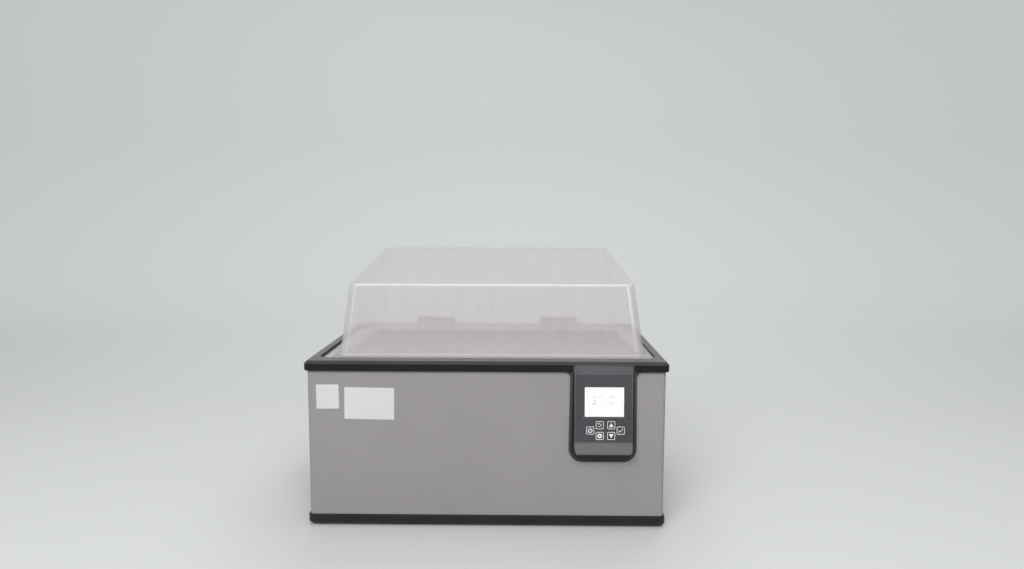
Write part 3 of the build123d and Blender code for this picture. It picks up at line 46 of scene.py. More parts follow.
MM = 0.001


# Material nodes

NOISE_LOW, NOISE_HIGH = 0.3, 0.7  # the levels that noise mostly stays between


def new_material(name):
    """An empty material with its output and a main shader."""
    material = bpy.data.materials.new(name)
    material.use_nodes = True
    tree = material.node_tree
    tree.nodes.clear()
    output = tree.nodes.new("ShaderNodeOutputMaterial")
    shader = tree.nodes.new("ShaderNodeBsdfPrincipled")
    tree.links.new(shader.outputs["BSDF"], output.inputs["Surface"])
    return material, tree, shader


def coordinates(tree, scale=(1, 1, 1)):
    """Object coordinates in metres, stretched by a scale."""
    place = tree.nodes.new("ShaderNodeTexCoord")
    mapping = tree.nodes.new("ShaderNodeMapping")
    mapping.inputs["Scale"].default_value = scale
    tree.links.new(place.outputs["Object"], mapping.inputs["Vector"])
    return mapping.outputs["Vector"]


def part_of(tree, output, axis):
    """One component of the object's own coordinates or normal."""
    place = tree.nodes.new("ShaderNodeTexCoord")
    split = tree.nodes.new("ShaderNodeSeparateXYZ")
    tree.links.new(place.outputs[output], split.inputs["Vector"])
    return split.outputs[axis]


def noise(tree, scale, detail=2.0, roughness=0.5, stretch=(1, 1, 1)):
    """Noise in object space; scale is in cells per metre."""
    node = tree.nodes.new("ShaderNodeTexNoise")
    node.inputs["Scale"].default_value = scale
    node.inputs["Detail"].default_value = detail
    node.inputs["Roughness"].default_value = roughness
    tree.links.new(coordinates(tree, stretch), node.inputs["Vector"])
    return node.outputs["Fac"]


def combined(tree, operation, first, second):
    """One value made of two, where the second is a socket or a number."""
    node = tree.nodes.new("ShaderNodeMath")
    node.operation = operation
    tree.links.new(first, node.inputs[0])
    if isinstance(second, (int, float)):
        node.inputs[1].default_value = second
    else:
        tree.links.new(second, node.inputs[1])
    return node.outputs["Value"]


def size_of(tree, value):
    """A value without its sign."""
    return combined(tree, "ABSOLUTE", value, 0)


def both(tree, first, second):
    """Where two masks overlap, or a mask times a share."""
    return combined(tree, "MULTIPLY", first, second)


def either(tree, first, second):
    """The stronger of two masks."""
    return combined(tree, "MAXIMUM", first, second)


def spread(tree, value, low, high, start=NOISE_LOW, end=NOISE_HIGH):
    """A value mapped from the range start to end on to the range low to high, and held there outside it."""
    node = tree.nodes.new("ShaderNodeMapRange")
    node.inputs["From Min"].default_value = start
    node.inputs["From Max"].default_value = end
    node.inputs["To Min"].default_value = low
    node.inputs["To Max"].default_value = high
    tree.links.new(value, node.inputs["Value"])
    return node.outputs["Result"]


def rising(tree, value, start, end):
    """A mask that goes from 0 at start to 1 at end."""
    return spread(tree, value, 0, 1, start, end)


def falling(tree, value, start, end):
    """A mask that goes from 1 at start to 0 at end."""
    return spread(tree, value, 1, 0, start, end)


def raised(tree, value, factor, top):
    """Moves a value towards a top level by a factor."""
    node = tree.nodes.new("ShaderNodeMapRange")
    tree.links.new(factor, node.inputs["Value"])
    tree.links.new(value, node.inputs["To Min"])
    node.inputs["To Max"].default_value = top
    return node.outputs["Result"]


def bend_mask(tree, start, end, axes=(1, 1, 1)):
    """A mask of the bends between faces square to these axes, where the normal's parts add up to more."""
    place = tree.nodes.new("ShaderNodeTexCoord")
    sizes = tree.nodes.new("ShaderNodeVectorMath")
    sizes.operation = "ABSOLUTE"
    total = tree.nodes.new("ShaderNodeVectorMath")
    total.operation = "DOT_PRODUCT"
    total.inputs[1].default_value = axes
    tree.links.new(place.outputs["Normal"], sizes.inputs[0])
    tree.links.new(sizes.outputs["Vector"], total.inputs[0])
    return rising(tree, total.outputs["Value"], start, end)


def grey(level):
    """A colour with three equal channels."""
    return (level, level, level)


def shade(colour, factor):
    """A colour made lighter or darker."""
    return tuple(channel * factor for channel in colour)


def two_tone(tree, value, dark, light):
    """A colour between two tones, chosen by a noise value."""
    node = tree.nodes.new("ShaderNodeValToRGB")
    for element, position, colour in zip(node.color_ramp.elements, (NOISE_LOW, NOISE_HIGH), (dark, light)):
        element.position = position
        element.color = (*colour, 1)
    tree.links.new(value, node.inputs["Fac"])
    return node.outputs["Color"]


def varied(tree, value, colour, change):
    """A colour that goes darker and lighter by a share, with a noise value."""
    return two_tone(tree, value, shade(colour, 1 - change), shade(colour, 1 + change))


def blended(tree, factor, first, second):
    """Mixes two colours, where each is a socket or a plain colour."""
    node = tree.nodes.new("ShaderNodeMix")
    node.data_type = "RGBA"
    tree.links.new(factor, node.inputs["Factor"])
    for name, colour in (("A", first), ("B", second)):
        socket = next(s for s in node.inputs if s.name == name and s.type == "RGBA")
        if isinstance(colour, tuple):
            socket.default_value = (*colour, 1)
        else:
            tree.links.new(colour, socket)
    return next(s for s in node.outputs if s.type == "RGBA")


def multiplied(tree, first, second):
    """The product of two colours."""
    node = tree.nodes.new("ShaderNodeVectorMath")
    node.operation = "MULTIPLY"
    tree.links.new(first, node.inputs[0])
    tree.links.new(second, node.inputs[1])
    return node.outputs["Vector"]


def uneven_gloss(tree, shader, value, rough, less, more):
    """Roughness that goes a little below and above a level, with a noise value."""
    tree.links.new(spread(tree, value, rough - less, rough + more), shader.inputs["Roughness"])


def bump(tree, shader, value, strength, depth):
    """Surface relief from a value; depth is in metres."""
    node = tree.nodes.new("ShaderNodeBump")
    node.inputs["Strength"].default_value = strength
    node.inputs["Distance"].default_value = depth
    tree.links.new(value, node.inputs["Height"])
    tree.links.new(node.outputs["Normal"], shader.inputs["Normal"])


# Materials

CLOUDS = {"scale": 18, "detail": 3}
GLOSS_PATCHES = {"scale": 60, "detail": 4}


def moulded(name, colour, rough=0.42, grain=900, relief=0.06, change=0.10, specular=0.5):
    """Moulded plastic or rubber with a fine grain and uneven gloss; relief is in millimetres."""
    material, tree, shader = new_material(name)
    tree.links.new(varied(tree, noise(tree, **CLOUDS), colour, change), shader.inputs["Base Color"])
    uneven_gloss(tree, shader, noise(tree, **GLOSS_PATCHES), rough, less=0.05, more=0.06)
    shader.inputs["Specular IOR Level"].default_value = specular
    bump(tree, shader, noise(tree, grain), strength=0.35, depth=relief * MM)
    return material


# The top frame: where the pod begins, in metres, and the ends of each mask, as levels of the normal. The greys are
# painted light and shade, each chosen by which way a face points

RIM_BLACK = (0.0085, 0.0080, 0.0078)
BEVEL_LIT_GREY = (0.036, 0.035, 0.036)
RIM_TOP_LIT_GREY = (0.103, 0.100, 0.103)
FLANK_SHADED_GREY = (0.020, 0.019, 0.019)
LIP_GREY = (0.056, 0.053, 0.053)
POD_FACE_LIT_GREY = (0.114, 0.107, 0.116)
CHIN_LIT_GREY = (0.135, 0.130, 0.133)

POD_X = (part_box("display_bezel")[0].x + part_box("display_bezel")[1].x) / 2
POD_EDGE = (45.5 * MM, 47.0 * MM)
UNDER_BEVEL = (257.2 * MM, 258.6 * MM)
BELOW_RIM = (247.0 * MM, 247.8 * MM)

TO_FRONT = (-0.97, -0.88)
LEANING = (0.02, 0.06)
FLANKS = (-0.93, -0.80)
CHIN = (0.16, 0.30)
UNDERSIDE = (-0.65, -0.35)
BEVEL = (0.35, 0.60)
RIM_TOP = (0.90, 0.98)
# Edges painted paler, partly as painted highlight and partly as wear, and flat faces a little darker
SHEEN_AND_WEAR_EDGES = (1.1, 1.5)
FLAT_FACE_TONE, EDGE_SHEEN_AND_WEAR = 0.94, 1.12


def rim_and_pod(name):
    """Dark moulding: a black rim with its bevel and top painted paler as light, and a pod whose face and chin are
    painted greyer as light and reflection and whose flanks and underside are painted darker as shade; edges are
    painted paler as highlight and wear.
    """
    material, tree, shader = new_material(name)
    height = part_of(tree, "Object", "Z")
    off_middle = size_of(tree, combined(tree, "SUBTRACT", part_of(tree, "Object", "X"), POD_X))
    below_rim = falling(tree, height, *BELOW_RIM)
    across = falling(tree, off_middle, *POD_EDGE)
    under_bevel = falling(tree, height, *UNDER_BEVEL)
    on_pod = either(tree, below_rim, both(tree, across, under_bevel))
    up = part_of(tree, "Normal", "Z")
    face = both(tree, falling(tree, part_of(tree, "Normal", "Y"), *TO_FRONT), rising(tree, up, *LEANING))
    # Painted light and shade: the pod's face, flanks, chin and underside get their tones from which way they point
    pod = blended(tree, face, LIP_GREY, POD_FACE_LIT_GREY)
    pod = blended(tree, rising(tree, part_of(tree, "Normal", "Y"), *FLANKS), pod, FLANK_SHADED_GREY)
    pod = blended(tree, rising(tree, up, *CHIN), pod, CHIN_LIT_GREY)
    pod = blended(tree, falling(tree, up, *UNDERSIDE), pod, RIM_BLACK)
    # Painted light: the rim's bevel and top are paler because they face up
    rim = blended(tree, rising(tree, up, *BEVEL), RIM_BLACK, BEVEL_LIT_GREY)
    rim = blended(tree, rising(tree, up, *RIM_TOP), rim, RIM_TOP_LIT_GREY)
    tone = blended(tree, on_pod, rim, pod)
    # Painted highlight and wear: bends between faces made paler than the flat faces
    sheen_and_wear = blended(tree, bend_mask(tree, *SHEEN_AND_WEAR_EDGES), grey(FLAT_FACE_TONE), grey(EDGE_SHEEN_AND_WEAR))
    cloud = varied(tree, noise(tree, **CLOUDS), grey(1), change=0.08)
    for factor in (sheen_and_wear, cloud):
        tone = multiplied(tree, tone, factor)
    tree.links.new(tone, shader.inputs["Base Color"])
    uneven_gloss(tree, shader, noise(tree, **GLOSS_PATCHES), rough=0.34, less=0.05, more=0.06)
    shader.inputs["Specular IOR Level"].default_value = 0.25
    bump(tree, shader, noise(tree, scale=900), strength=0.30, depth=0.05 * MM)
    return material


def painted(name, colour, rough=0.45):
    """Powder-coated sheet: orange peel, a little change of tone."""
    material, tree, shader = new_material(name)
    patches = noise(tree, scale=7, detail=4, roughness=0.6)
    tree.links.new(varied(tree, patches, colour, change=0.035), shader.inputs["Base Color"])
    uneven_gloss(tree, shader, noise(tree, scale=30, detail=3), rough, less=0.04, more=0.05)
    shader.inputs["Specular IOR Level"].default_value = 0.4
    bump(tree, shader, noise(tree, scale=420), strength=0.30, depth=0.05 * MM)
    return material


def brushed(name, colour, rough, stretch=(2, 90, 90)):
    """Satin metal, whose grain runs along the axis with the smallest stretch."""
    material, tree, shader = new_material(name)
    grain = noise(tree, scale=12, detail=4, roughness=0.6, stretch=stretch)
    tree.links.new(varied(tree, grain, colour, change=0.12), shader.inputs["Base Color"])
    uneven_gloss(tree, shader, grain, rough, less=0.07, more=0.09)
    shader.inputs["Metallic"].default_value = 1.0
    bump(tree, shader, grain, strength=0.12, depth=0.03 * MM)
    return material


# The cover: how opaque and pale its foot and the painted highlights along its bends are, how dark the painted
# shade on its roof is, and the ends of each mask, as heights in metres, as levels of the normal, or as sums of its
# parts

BEND_HIGHLIGHT_VEIL = 0.54
BEND_HIGHLIGHT_TONE = (0.86, 0.85, 0.86)
FOOT_VEIL = 0.40
FOOT_TONE = (0.78, 0.725, 0.733)
ROOF_SHADE = 0.86
CORNER_HIGHLIGHT_SHARE = 0.5
LEFT_HIGHLIGHT_SHARE = 0.5
RIGHT_HIGHLIGHT_SHARE = 0.95
LOW_HIGHLIGHT_SHARE = 0.30

FOOT = (0.266, 0.308)
HIGHLIGHTS_RISE = (0.28, 0.34)
TOP_EDGES = (1.375, 1.405)
UPRIGHT_EDGES = (1.385, 1.408)
LINE_BEGINS = (0.03, 0.08)
LINE_ENDS = (0.20, 0.35)
LINE_AT_FRONT = (-0.90, -0.80)
LEFT_TO_RIGHT = (-0.02, 0.02)
ROOF = (0.80, 0.95)


def with_foot_and_painted_light(tree, colour, veil, tone):
    """The cover's veil and tone with a milky foot, a painted shade that darkens the roof, and painted highlights
    as pale lines along its top edges and front corners.
    """
    foot = falling(tree, part_of(tree, "Object", "Z"), *FOOT)
    veil = raised(tree, veil, foot, FOOT_VEIL)
    tone = blended(tree, foot, tone, FOOT_TONE)
    # Painted highlights: pale lines down the front corners, brighter on the right corner
    aside = size_of(tree, part_of(tree, "Normal", "X"))
    line = both(tree, rising(tree, aside, *LINE_BEGINS), falling(tree, aside, *LINE_ENDS))
    line = both(tree, line, falling(tree, part_of(tree, "Normal", "Y"), *LINE_AT_FRONT))
    share = spread(tree, part_of(tree, "Normal", "X"), LEFT_HIGHLIGHT_SHARE, RIGHT_HIGHLIGHT_SHARE, *LEFT_TO_RIGHT)
    corners = both(tree, bend_mask(tree, *UPRIGHT_EDGES, axes=(1, 1, 0)), CORNER_HIGHLIGHT_SHARE)
    corners = either(tree, corners, both(tree, line, share))
    # Painted highlights along the top front and rear edges and the corners, made weaker low down
    bends = either(tree, bend_mask(tree, *TOP_EDGES, axes=(0, 1, 1)), corners)
    bends = both(tree, bends, spread(tree, part_of(tree, "Object", "Z"), LOW_HIGHLIGHT_SHARE, 1, *HIGHLIGHTS_RISE))
    veil = raised(tree, veil, bends, BEND_HIGHLIGHT_VEIL)
    tone = blended(tree, bends, tone, BEND_HIGHLIGHT_TONE)
    # Painted shade: the roof, which faces up, is made darker
    tone = blended(tree, rising(tree, part_of(tree, "Normal", "Z"), *ROOF), tone, shade(colour, ROOF_SHADE))
    return veil, tone


def clear_sheet(name, colour, alpha, rough, streaks, formed_with_painted_light=False):
    """Clear plastic with a streaky haze, and on the cover painted highlights along its bends and a painted shade
    on its roof.
    """
    material, tree, shader = new_material(name)
    haze = noise(tree, scale=1, detail=5, roughness=0.62, stretch=streaks)
    veil = spread(tree, haze, *alpha)
    tone = two_tone(tree, haze, dark=shade(colour, 0.98), light=colour)
    if formed_with_painted_light:
        veil, tone = with_foot_and_painted_light(tree, colour, veil, tone)
    tree.links.new(veil, shader.inputs["Alpha"])
    tree.links.new(tone, shader.inputs["Base Color"])
    uneven_gloss(tree, shader, noise(tree, scale=40, detail=4), rough, less=0.05, more=0.08)
    shader.inputs["Specular IOR Level"].default_value = 0.5
    bump(tree, shader, noise(tree, scale=9, detail=3), strength=0.10, depth=0.6 * MM)
    return material


def lit_display(name, colour, strength):
    """Backlit display: pale and almost evenly lit."""
    material, tree, shader = new_material(name)
    paint = two_tone(tree, noise(tree, scale=30), dark=shade(colour, 0.985), light=colour)
    tree.links.new(paint, shader.inputs["Base Color"])
    tree.links.new(paint, shader.inputs["Emission Color"])
    shader.inputs["Emission Strength"].default_value = strength
    shader.inputs["Roughness"].default_value = 0.35
    return material


def solder_mask(name, colour):
    """Circuit board lacquer with tracks under it."""
    material, tree, shader = new_material(name)
    tracks = noise(tree, scale=260, detail=1, roughness=0.4, stretch=(1, 3, 1))
    tone = two_tone(tree, tracks, dark=shade(colour, 0.7), light=shade(colour, 1.5))
    tree.links.new(tone, shader.inputs["Base Color"])
    tree.links.new(spread(tree, tracks, low=0.25, high=0.38), shader.inputs["Roughness"])
    bump(tree, shader, tracks, strength=0.2, depth=0.04 * MM)
    return material


BODY_GREY = (0.315, 0.300, 0.297)
NEAR_BLACK = (0.019, 0.0185, 0.0187)
OVERLAY_DARK = (0.058, 0.055, 0.062)
COVER_HAZE = (0.73, 0.695, 0.702)
WINDOW_HAZE = (0.9, 0.92, 0.93)

MATERIALS = {
    "rim_plastic": rim_and_pod("rim_plastic"),
    "shell_paint": painted("shell_paint", BODY_GREY),
    "base_plastic": moulded("base_plastic", NEAR_BLACK, rough=0.36, specular=0.25),
    "foot_rubber": moulded("foot_rubber", grey(0.02), rough=0.75, grain=500, specular=0.3),
    "tank_steel": brushed("tank_steel", grey(0.80), rough=0.24),
    "fastener_steel": brushed("fastener_steel", (0.50, 0.50, 0.51), rough=0.28, stretch=(30, 30, 30)),
    "clear_cover": clear_sheet(
        "clear_cover", COVER_HAZE, alpha=(0.34, 0.38), rough=0.12, streaks=(55, 55, 2.2), formed_with_painted_light=True,
    ),
    "overlay_dark": moulded("overlay_dark", OVERLAY_DARK, rough=0.30, grain=1500, relief=0.02, specular=0.4),
    "window_clear": clear_sheet(
        "window_clear", WINDOW_HAZE, alpha=(0.05, 0.09), rough=0.08, streaks=(8, 8, 8),
    ),
    "display_pale": lit_display("display_pale", (0.92, 0.93, 0.935), strength=0.22),
    "key_plastic": moulded("key_plastic", (0.050, 0.048, 0.052), rough=0.34, grain=1500, relief=0.02),
    "board_green": solder_mask("board_green", (0.02, 0.14, 0.06)),
    "seal_rubber": moulded("seal_rubber", grey(0.06), rough=0.6),
    "foam": moulded("foam", (0.10, 0.10, 0.105), rough=0.9, grain=260, relief=0.5, specular=0.2),
    "motor_paint": painted("motor_paint", (0.05, 0.055, 0.065), rough=0.35),
    "magnet_metal": brushed("magnet_metal", (0.25, 0.25, 0.26), rough=0.45, stretch=(25, 25, 25)),
    "impeller_plastic": moulded("impeller_plastic", (0.62, 0.62, 0.59), rough=0.45),
    "heater_steel": brushed("heater_steel", (0.40, 0.37, 0.34), rough=0.38, stretch=(40, 6, 40)),
    "valve_brass": brushed("valve_brass", (0.66, 0.48, 0.22), rough=0.32, stretch=(20, 40, 40)),
    "lever_red": moulded("lever_red", (0.36, 0.03, 0.025), rough=0.35),
    "fitting_black": moulded("fitting_black", (0.025, 0.025, 0.027)),
    "core_iron": moulded("core_iron", (0.16, 0.13, 0.10), rough=0.5, grain=300, relief=0.2),
    "sink_aluminium": brushed("sink_aluminium", (0.66, 0.67, 0.68), rough=0.38, stretch=(60, 3, 60)),
}
PRINTED = {"rough": 0.5, "grain": 1200, "relief": 0.01}
INK = moulded("ink", (0.90, 0.90, 0.91), **PRINTED)
PALE_INK = moulded("pale_ink", (0.88, 0.89, 0.90), **PRINTED)
DIGIT_INK = moulded("digit_ink", (0.40, 0.45, 0.43), **PRINTED)
LABEL_WHITE = moulded("label_white", (0.69, 0.687, 0.698), rough=0.35, grain=300, relief=0.02, change=0.02)
# Painted shade for the recesses in the screw heads
RECESS_SHADE_DARK = moulded("recess_shade", grey(0.02), rough=0.6)

for part in frame["record"]["subparts"]:
    mesh = nodes[part["node"]].data
    mesh.materials.clear()
    mesh.materials.append(MATERIALS[part["material_slot"]])


# Outlines, in millimetres


def arc(radius, start, end, steps, centre=(0, 0)):
    """Points along an arc, angles in degrees."""
    angles = [math.radians(start + (end - start) * n / steps) for n in range(steps + 1)]
    return [(centre[0] + radius * math.cos(a), centre[1] + radius * math.sin(a)) for a in angles]


def circle(radius, sides=24):
    """A full circle about the origin."""
    return arc(radius, 0, 360 - 360 / sides, sides - 1)


def band(radius, width, start, end, steps=32):
    """Part of a ring between two angles."""
    outer = arc(radius + width / 2, start, end, steps)
    inner = arc(radius - width / 2, end, start, steps)
    return outer + inner


def rounded(width, height, radius, steps=5):
    """A rounded rectangle about the origin."""
    points = []
    for n, (i, j) in enumerate(((1, 1), (-1, 1), (-1, -1), (1, -1))):
        centre = (i * (width / 2 - radius), j * (height / 2 - radius))
        points += arc(radius, 90 * n, 90 * n + 90, steps, centre)
    return points


def stroke(points, width):
    """The outline of a line of even width, with mitred corners."""
    shortest_mitre = 0.3
    left, right = [], []
    for n, point in enumerate(points):
        here = Vector(point)
        before = (here - Vector(points[n - 1])).normalized() if n else None
        after = (Vector(points[n + 1]) - here).normalized() if n < len(points) - 1 else None
        before, after = before or after, after or before
        side = Vector((-(before + after).y, (before + after).x)).normalized()
        reach = width / 2 / max(shortest_mitre, side.dot(Vector((-before.y, before.x))))
        left.append(tuple(here + side * reach))
        right.append(tuple(here - side * reach))
    return left + right[::-1]


def cog(outer, inner, teeth):
    """A cog about the origin, whose teeth are wider at their roots."""
    step = 360 / teeth
    tip, root, valley = 0.18 * step, 0.27 * step, 0.45 * step
    points = []
    for n in range(teeth):
        middle = n * step
        points += arc(inner, middle - step / 2, middle - root, 2)
        points += arc(outer, middle - tip, middle + tip, 2)
        points += arc(inner, middle + root, middle + valley, 2)
    return points


def turned(loop, degrees):
    """A loop turned about the origin."""
    c, s = math.cos(math.radians(degrees)), math.sin(math.radians(degrees))
    return [(x * c - y * s, x * s + y * c) for x, y in loop]


def shifted(loop, dx, dy):
    """A loop moved by an offset."""
    return [(x + dx, y + dy) for x, y in loop]


def cross(arm, half):
    """A plus sign about the origin."""
    quarter = [(arm, -half), (arm, half), (half, half)]
    return [point for n in range(4) for point in turned(quarter, 90 * n)]


# Places on the object, and thin pieces laid there

SAME_FACE = 0.01 * MM
FACES_THIS_WAY = 0.999


def upright_frame(point, across, normal):
    """A frame at a point: x along across, y up the face, z out."""
    rotation = Matrix((across, normal.cross(across), normal)).transposed().to_4x4()
    return Matrix.Translation(point) @ rotation


def face_frame(node, normal):
    """A frame on the middle of a node's outermost face, readable from the front."""
    normal = Vector(normal).normalized()
    across = Vector((1, 0, 0))
    up = normal.cross(across)
    points = [vertex.co for vertex in nodes[node].data.vertices]
    out = max(point.dot(normal) for point in points)
    face = [point for point in points if point.dot(normal) > out - SAME_FACE]
    middle = (max(p.x for p in face) + min(p.x for p in face)) / 2
    height = (max(p.dot(up) for p in face) + min(p.dot(up) for p in face)) / 2
    return upright_frame(across * middle + up * height + normal * out, across, normal)


def rear_place(point, normal=(0, 1, 0)):
    """A frame at a point, upright and readable from behind the object."""
    return upright_frame(point, Vector((-1, 0, 0)), Vector(normal))


def box_middle(points):
    """The middle of the box round some points."""
    low, high = [Vector([pick(point[axis] for point in points) for axis in range(3)]) for pick in (min, max)]
    return (low + high) / 2


def flat_tops(node, normal, gap):
    """The middles of a node's separate faces that look one way; gap is the most between points of one."""
    groups = []
    mesh = nodes[node].data
    for polygon in mesh.polygons:
        if polygon.normal.dot(Vector(normal)) < FACES_THIS_WAY:
            continue
        for point in (mesh.vertices[index].co for index in polygon.vertices):
            near = next((group for group in groups if (group[0] - point).length < gap), None)
            if near:
                near.append(point)
            else:
                groups.append([point])
    return [box_middle(group) for group in groups]


def plate(name, loops, thickness, place, material, body):
    """A thin piece whose outline is one or more loops of points, in millimetres."""
    curve = bpy.data.curves.new(name, "CURVE")
    curve.dimensions = "2D"
    curve.fill_mode = "BOTH"
    curve.extrude = thickness * MM / 2
    for loop in loops:
        spline = curve.splines.new("POLY")
        spline.points.add(len(loop) - 1)
        for point, (x, y) in zip(spline.points, loop):
            point.co = (x * MM, y * MM, 0, 1)
        spline.use_cyclic_u = True
    drawn = bpy.data.objects.new(name + "_line", curve)
    mesh = bpy.data.meshes.new_from_object(drawn)
    bpy.data.objects.remove(drawn)
    mesh.transform(place @ Matrix.Translation((0, 0, thickness * MM / 2)))
    mesh.name = name
    piece = bpy.data.objects.new(name, mesh)
    bpy.context.scene.collection.objects.link(piece)
    mesh.materials.append(material)
    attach(piece, body)


# Outlines and signs on the keys

INK_T = 0.06
KEY_OUTLINE = 12.0
KEY_OUTLINE_R = 1.6
KEY_LINE = 0.75
POWER_LINE = 1.25
ARROW_LINE = 0.75
TICK_LINE = 0.9

SIGNS = {
    "key_power": [band(2.9, POWER_LINE, 128, 412), stroke([(0, 0.2), (0, 4.2)], POWER_LINE)],
    "key_return": [
        band(2.2, ARROW_LINE, -90, 90),
        stroke([(0.2, 2.2), (-2.6, 2.2)], ARROW_LINE),
        [(-1.6, 3.7), (-1.6, 0.7), (-3.5, 2.2)],
        stroke([(0.2, -2.2), (-2.4, -2.2)], ARROW_LINE),
    ],
    "key_settings": [cog(4.1, 3.0, 8), circle(1.3)],
    "key_up": [[(-3.7, -2.9), (3.7, -2.9), (0, 3.3)]],
    "key_down": [[(-3.7, 2.9), (3.7, 2.9), (0, -3.3)]],
    "key_confirm": [stroke([(-3.3, 0.3), (-1.0, -2.4), (3.5, 2.9)], TICK_LINE)],
}
SIGNS_WITH_HOLES = ("key_settings",)

key_inside = KEY_OUTLINE - 2 * KEY_LINE
KEY_FRAME = [
    rounded(KEY_OUTLINE, KEY_OUTLINE, KEY_OUTLINE_R),
    rounded(key_inside, key_inside, KEY_OUTLINE_R - KEY_LINE),
]

press = next(joint for joint in frame["joints"] if joint["name"] == "key_power_press")
FACE_OUT = -Vector(press["axis"])
for name, loops in SIGNS.items():
    place = face_frame(name, FACE_OUT)
    body = f"{name}_cap"
    plate(f"{name}_outline", KEY_FRAME, INK_T, place, INK, body)
    groups = [loops] if name in SIGNS_WITH_HOLES else [[loop] for loop in loops]
    for n, group in enumerate(groups):
        plate(f"{name}_icon_{n}", group, INK_T, place, PALE_INK, body)


# Display digits

SEGMENTS = {
    "a": ((-1, 2), (1, 2)), "b": ((1, 2), (1, 0)), "c": ((1, 0), (1, -2)), "d": ((1, -2), (-1, -2)),
    "e": ((-1, -2), (-1, 0)), "f": ((-1, 0), (-1, 2)), "g": ((-1, 0), (1, 0)),
}
DIGITS = {"3": "abcdg", "7": "abc", "0": "abcdef"}
DIGIT_PLACES = (("3", -16.5), ("7", -6.0), ("0", 10.5))
DIGIT_ROW = 3
DIGIT_HALF_W = 2.6
DIGIT_QUARTER_H = 2.9
DIGIT_LINE = 1.0
SEGMENT_GAP = 0.12
POINT_X = 2.5
POINT_SIZE = 1.2
POINT_R = 0.3


def segment_line(segment, x):
    """The outline of one segment of the digit at x, cut short at each end."""
    start, end = [(x + DIGIT_HALF_W * i, DIGIT_ROW + DIGIT_QUARTER_H * j) for i, j in SEGMENTS[segment]]
    cut = [(b - a) * SEGMENT_GAP for a, b in zip(start, end)]
    ends = [(start[0] + cut[0], start[1] + cut[1]), (end[0] - cut[0], end[1] - cut[1])]
    return stroke(ends, DIGIT_LINE)


window = face_frame("display_window", FACE_OUT)
for n, (digit, x) in enumerate(DIGIT_PLACES):
    for segment in DIGITS[digit]:
        line = segment_line(segment, x)
        plate(f"digit_{n}_{segment}", [line], INK_T, window, DIGIT_INK, "case")
dot = shifted(rounded(POINT_SIZE, POINT_SIZE, POINT_R), POINT_X, DIGIT_ROW - 2 * DIGIT_QUARTER_H)
plate("digit_point", [dot], INK_T, window, DIGIT_INK, "case")


# Blank labels on the shell: middle, size, corner radius, and lean in degrees

LABELS = {
    "label_large": ((-180.5, 196.0), (77.0, 50.0), 1.5, -0.8),
    "label_small": ((-245.0, 206.5), (35.0, 38.0), 1.5, 0.6),
}
LABEL_T = 0.15

shell_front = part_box("case_wrap")[0].y
for name, ((x, z), (width, height), radius, lean) in LABELS.items():
    place = Matrix.Translation((x * MM, shell_front, z * MM)) @ Matrix.Rotation(math.radians(90), 4, "X")
    outline = turned(rounded(width, height, radius), lean)
    plate(name, [outline], LABEL_T, place, LABEL_WHITE, "case")


# Painted shade of the recesses in the screws, as dark crosses laid on their heads, and marks on the switch and
# round the safety knob

RECESS_ARM = 1.9
RECESS_HALF = 0.35
SCREW_GAP = 8 * MM
SCREWS = (("rear_panel_screws", (0, 1, 0)), ("hinge_screws", (0, 0, 1)))

# Painted shade: a dark cross on each screw head stands for the shade in its recess
for name, normal in SCREWS:
    for n, point in enumerate(flat_tops(name, normal, SCREW_GAP)):
        place = rear_place(point, normal)
        recess_shade = cross(RECESS_ARM, RECESS_HALF)
        plate(f"{name}_recess_{n}", [recess_shade], INK_T, place, RECESS_SHADE_DARK, "case")

ROCKER_UPPER_FACE = (0, 1, 0)
ROCKER_LOWER_FACE = (0, 0.951057, 0.309017)
ROCKER_GAP = 30 * MM
ON_MARK = rounded(0.9, 5.0, 0.2)
OFF_MARK = [circle(2.4), circle(1.6)]

(upper,) = flat_tops("power_rocker", ROCKER_UPPER_FACE, ROCKER_GAP)
(lower,) = flat_tops("power_rocker", ROCKER_LOWER_FACE, ROCKER_GAP)
plate("rocker_on_mark", [ON_MARK], INK_T, rear_place(upper), PALE_INK, "rocker")
lower_place = rear_place(lower, ROCKER_LOWER_FACE)
plate("rocker_off_mark", OFF_MARK, INK_T, lower_place, PALE_INK, "rocker")

POINTER = shifted(rounded(1.0, 5.0, 0.3), 0, 6.2)
TICKS = 10
TICK_TURN = 30
FIRST_TICK = 90
TICK_START = 13.5
TICK_END, TICK_W = 16.0, 0.8
END_TICK_END, END_TICK_W = 17.5, 1.1

dial_low, dial_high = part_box("safety_dial")
dial_middle = (dial_low + dial_high) / 2
dial_top = Vector((dial_middle.x, dial_high.y, dial_middle.z))
plate("dial_pointer", [POINTER], INK_T, rear_place(dial_top), PALE_INK, "dial")
panel_face = Vector((dial_middle.x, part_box("rear_panel")[1].y, dial_middle.z))
for n in range(TICKS):
    tick_end, tick_width = (END_TICK_END, END_TICK_W) if n in (0, TICKS - 1) else (TICK_END, TICK_W)
    tick = turned(stroke([(TICK_START, 0), (tick_end, 0)], tick_width), FIRST_TICK - TICK_TURN * n)
    plate(f"dial_tick_{n}", [tick], INK_T, rear_place(panel_face), PALE_INK, "case")


# Floor, backdrop and light

BLACK = (0.0, 0.0, 0.0)
STUDIO_FLOOR = (0.56, 0.57, 0.57)
STUDIO_FAR = (0.28, 0.29, 0.285)
STUDIO_GLOW = (0.40, 0.415, 0.412)
STUDIO_SEEN = (0.58, 0.60, 0.595)
STUDIO_BOUNCE = (0.22, 0.22, 0.22)
FAR_BACK = (0.5, 2.2)
FAR_ASIDE = (2.0, 3.7)
SKY_TINT = (0.97, 0.985, 1)
SKY_STRENGTH = 0.42


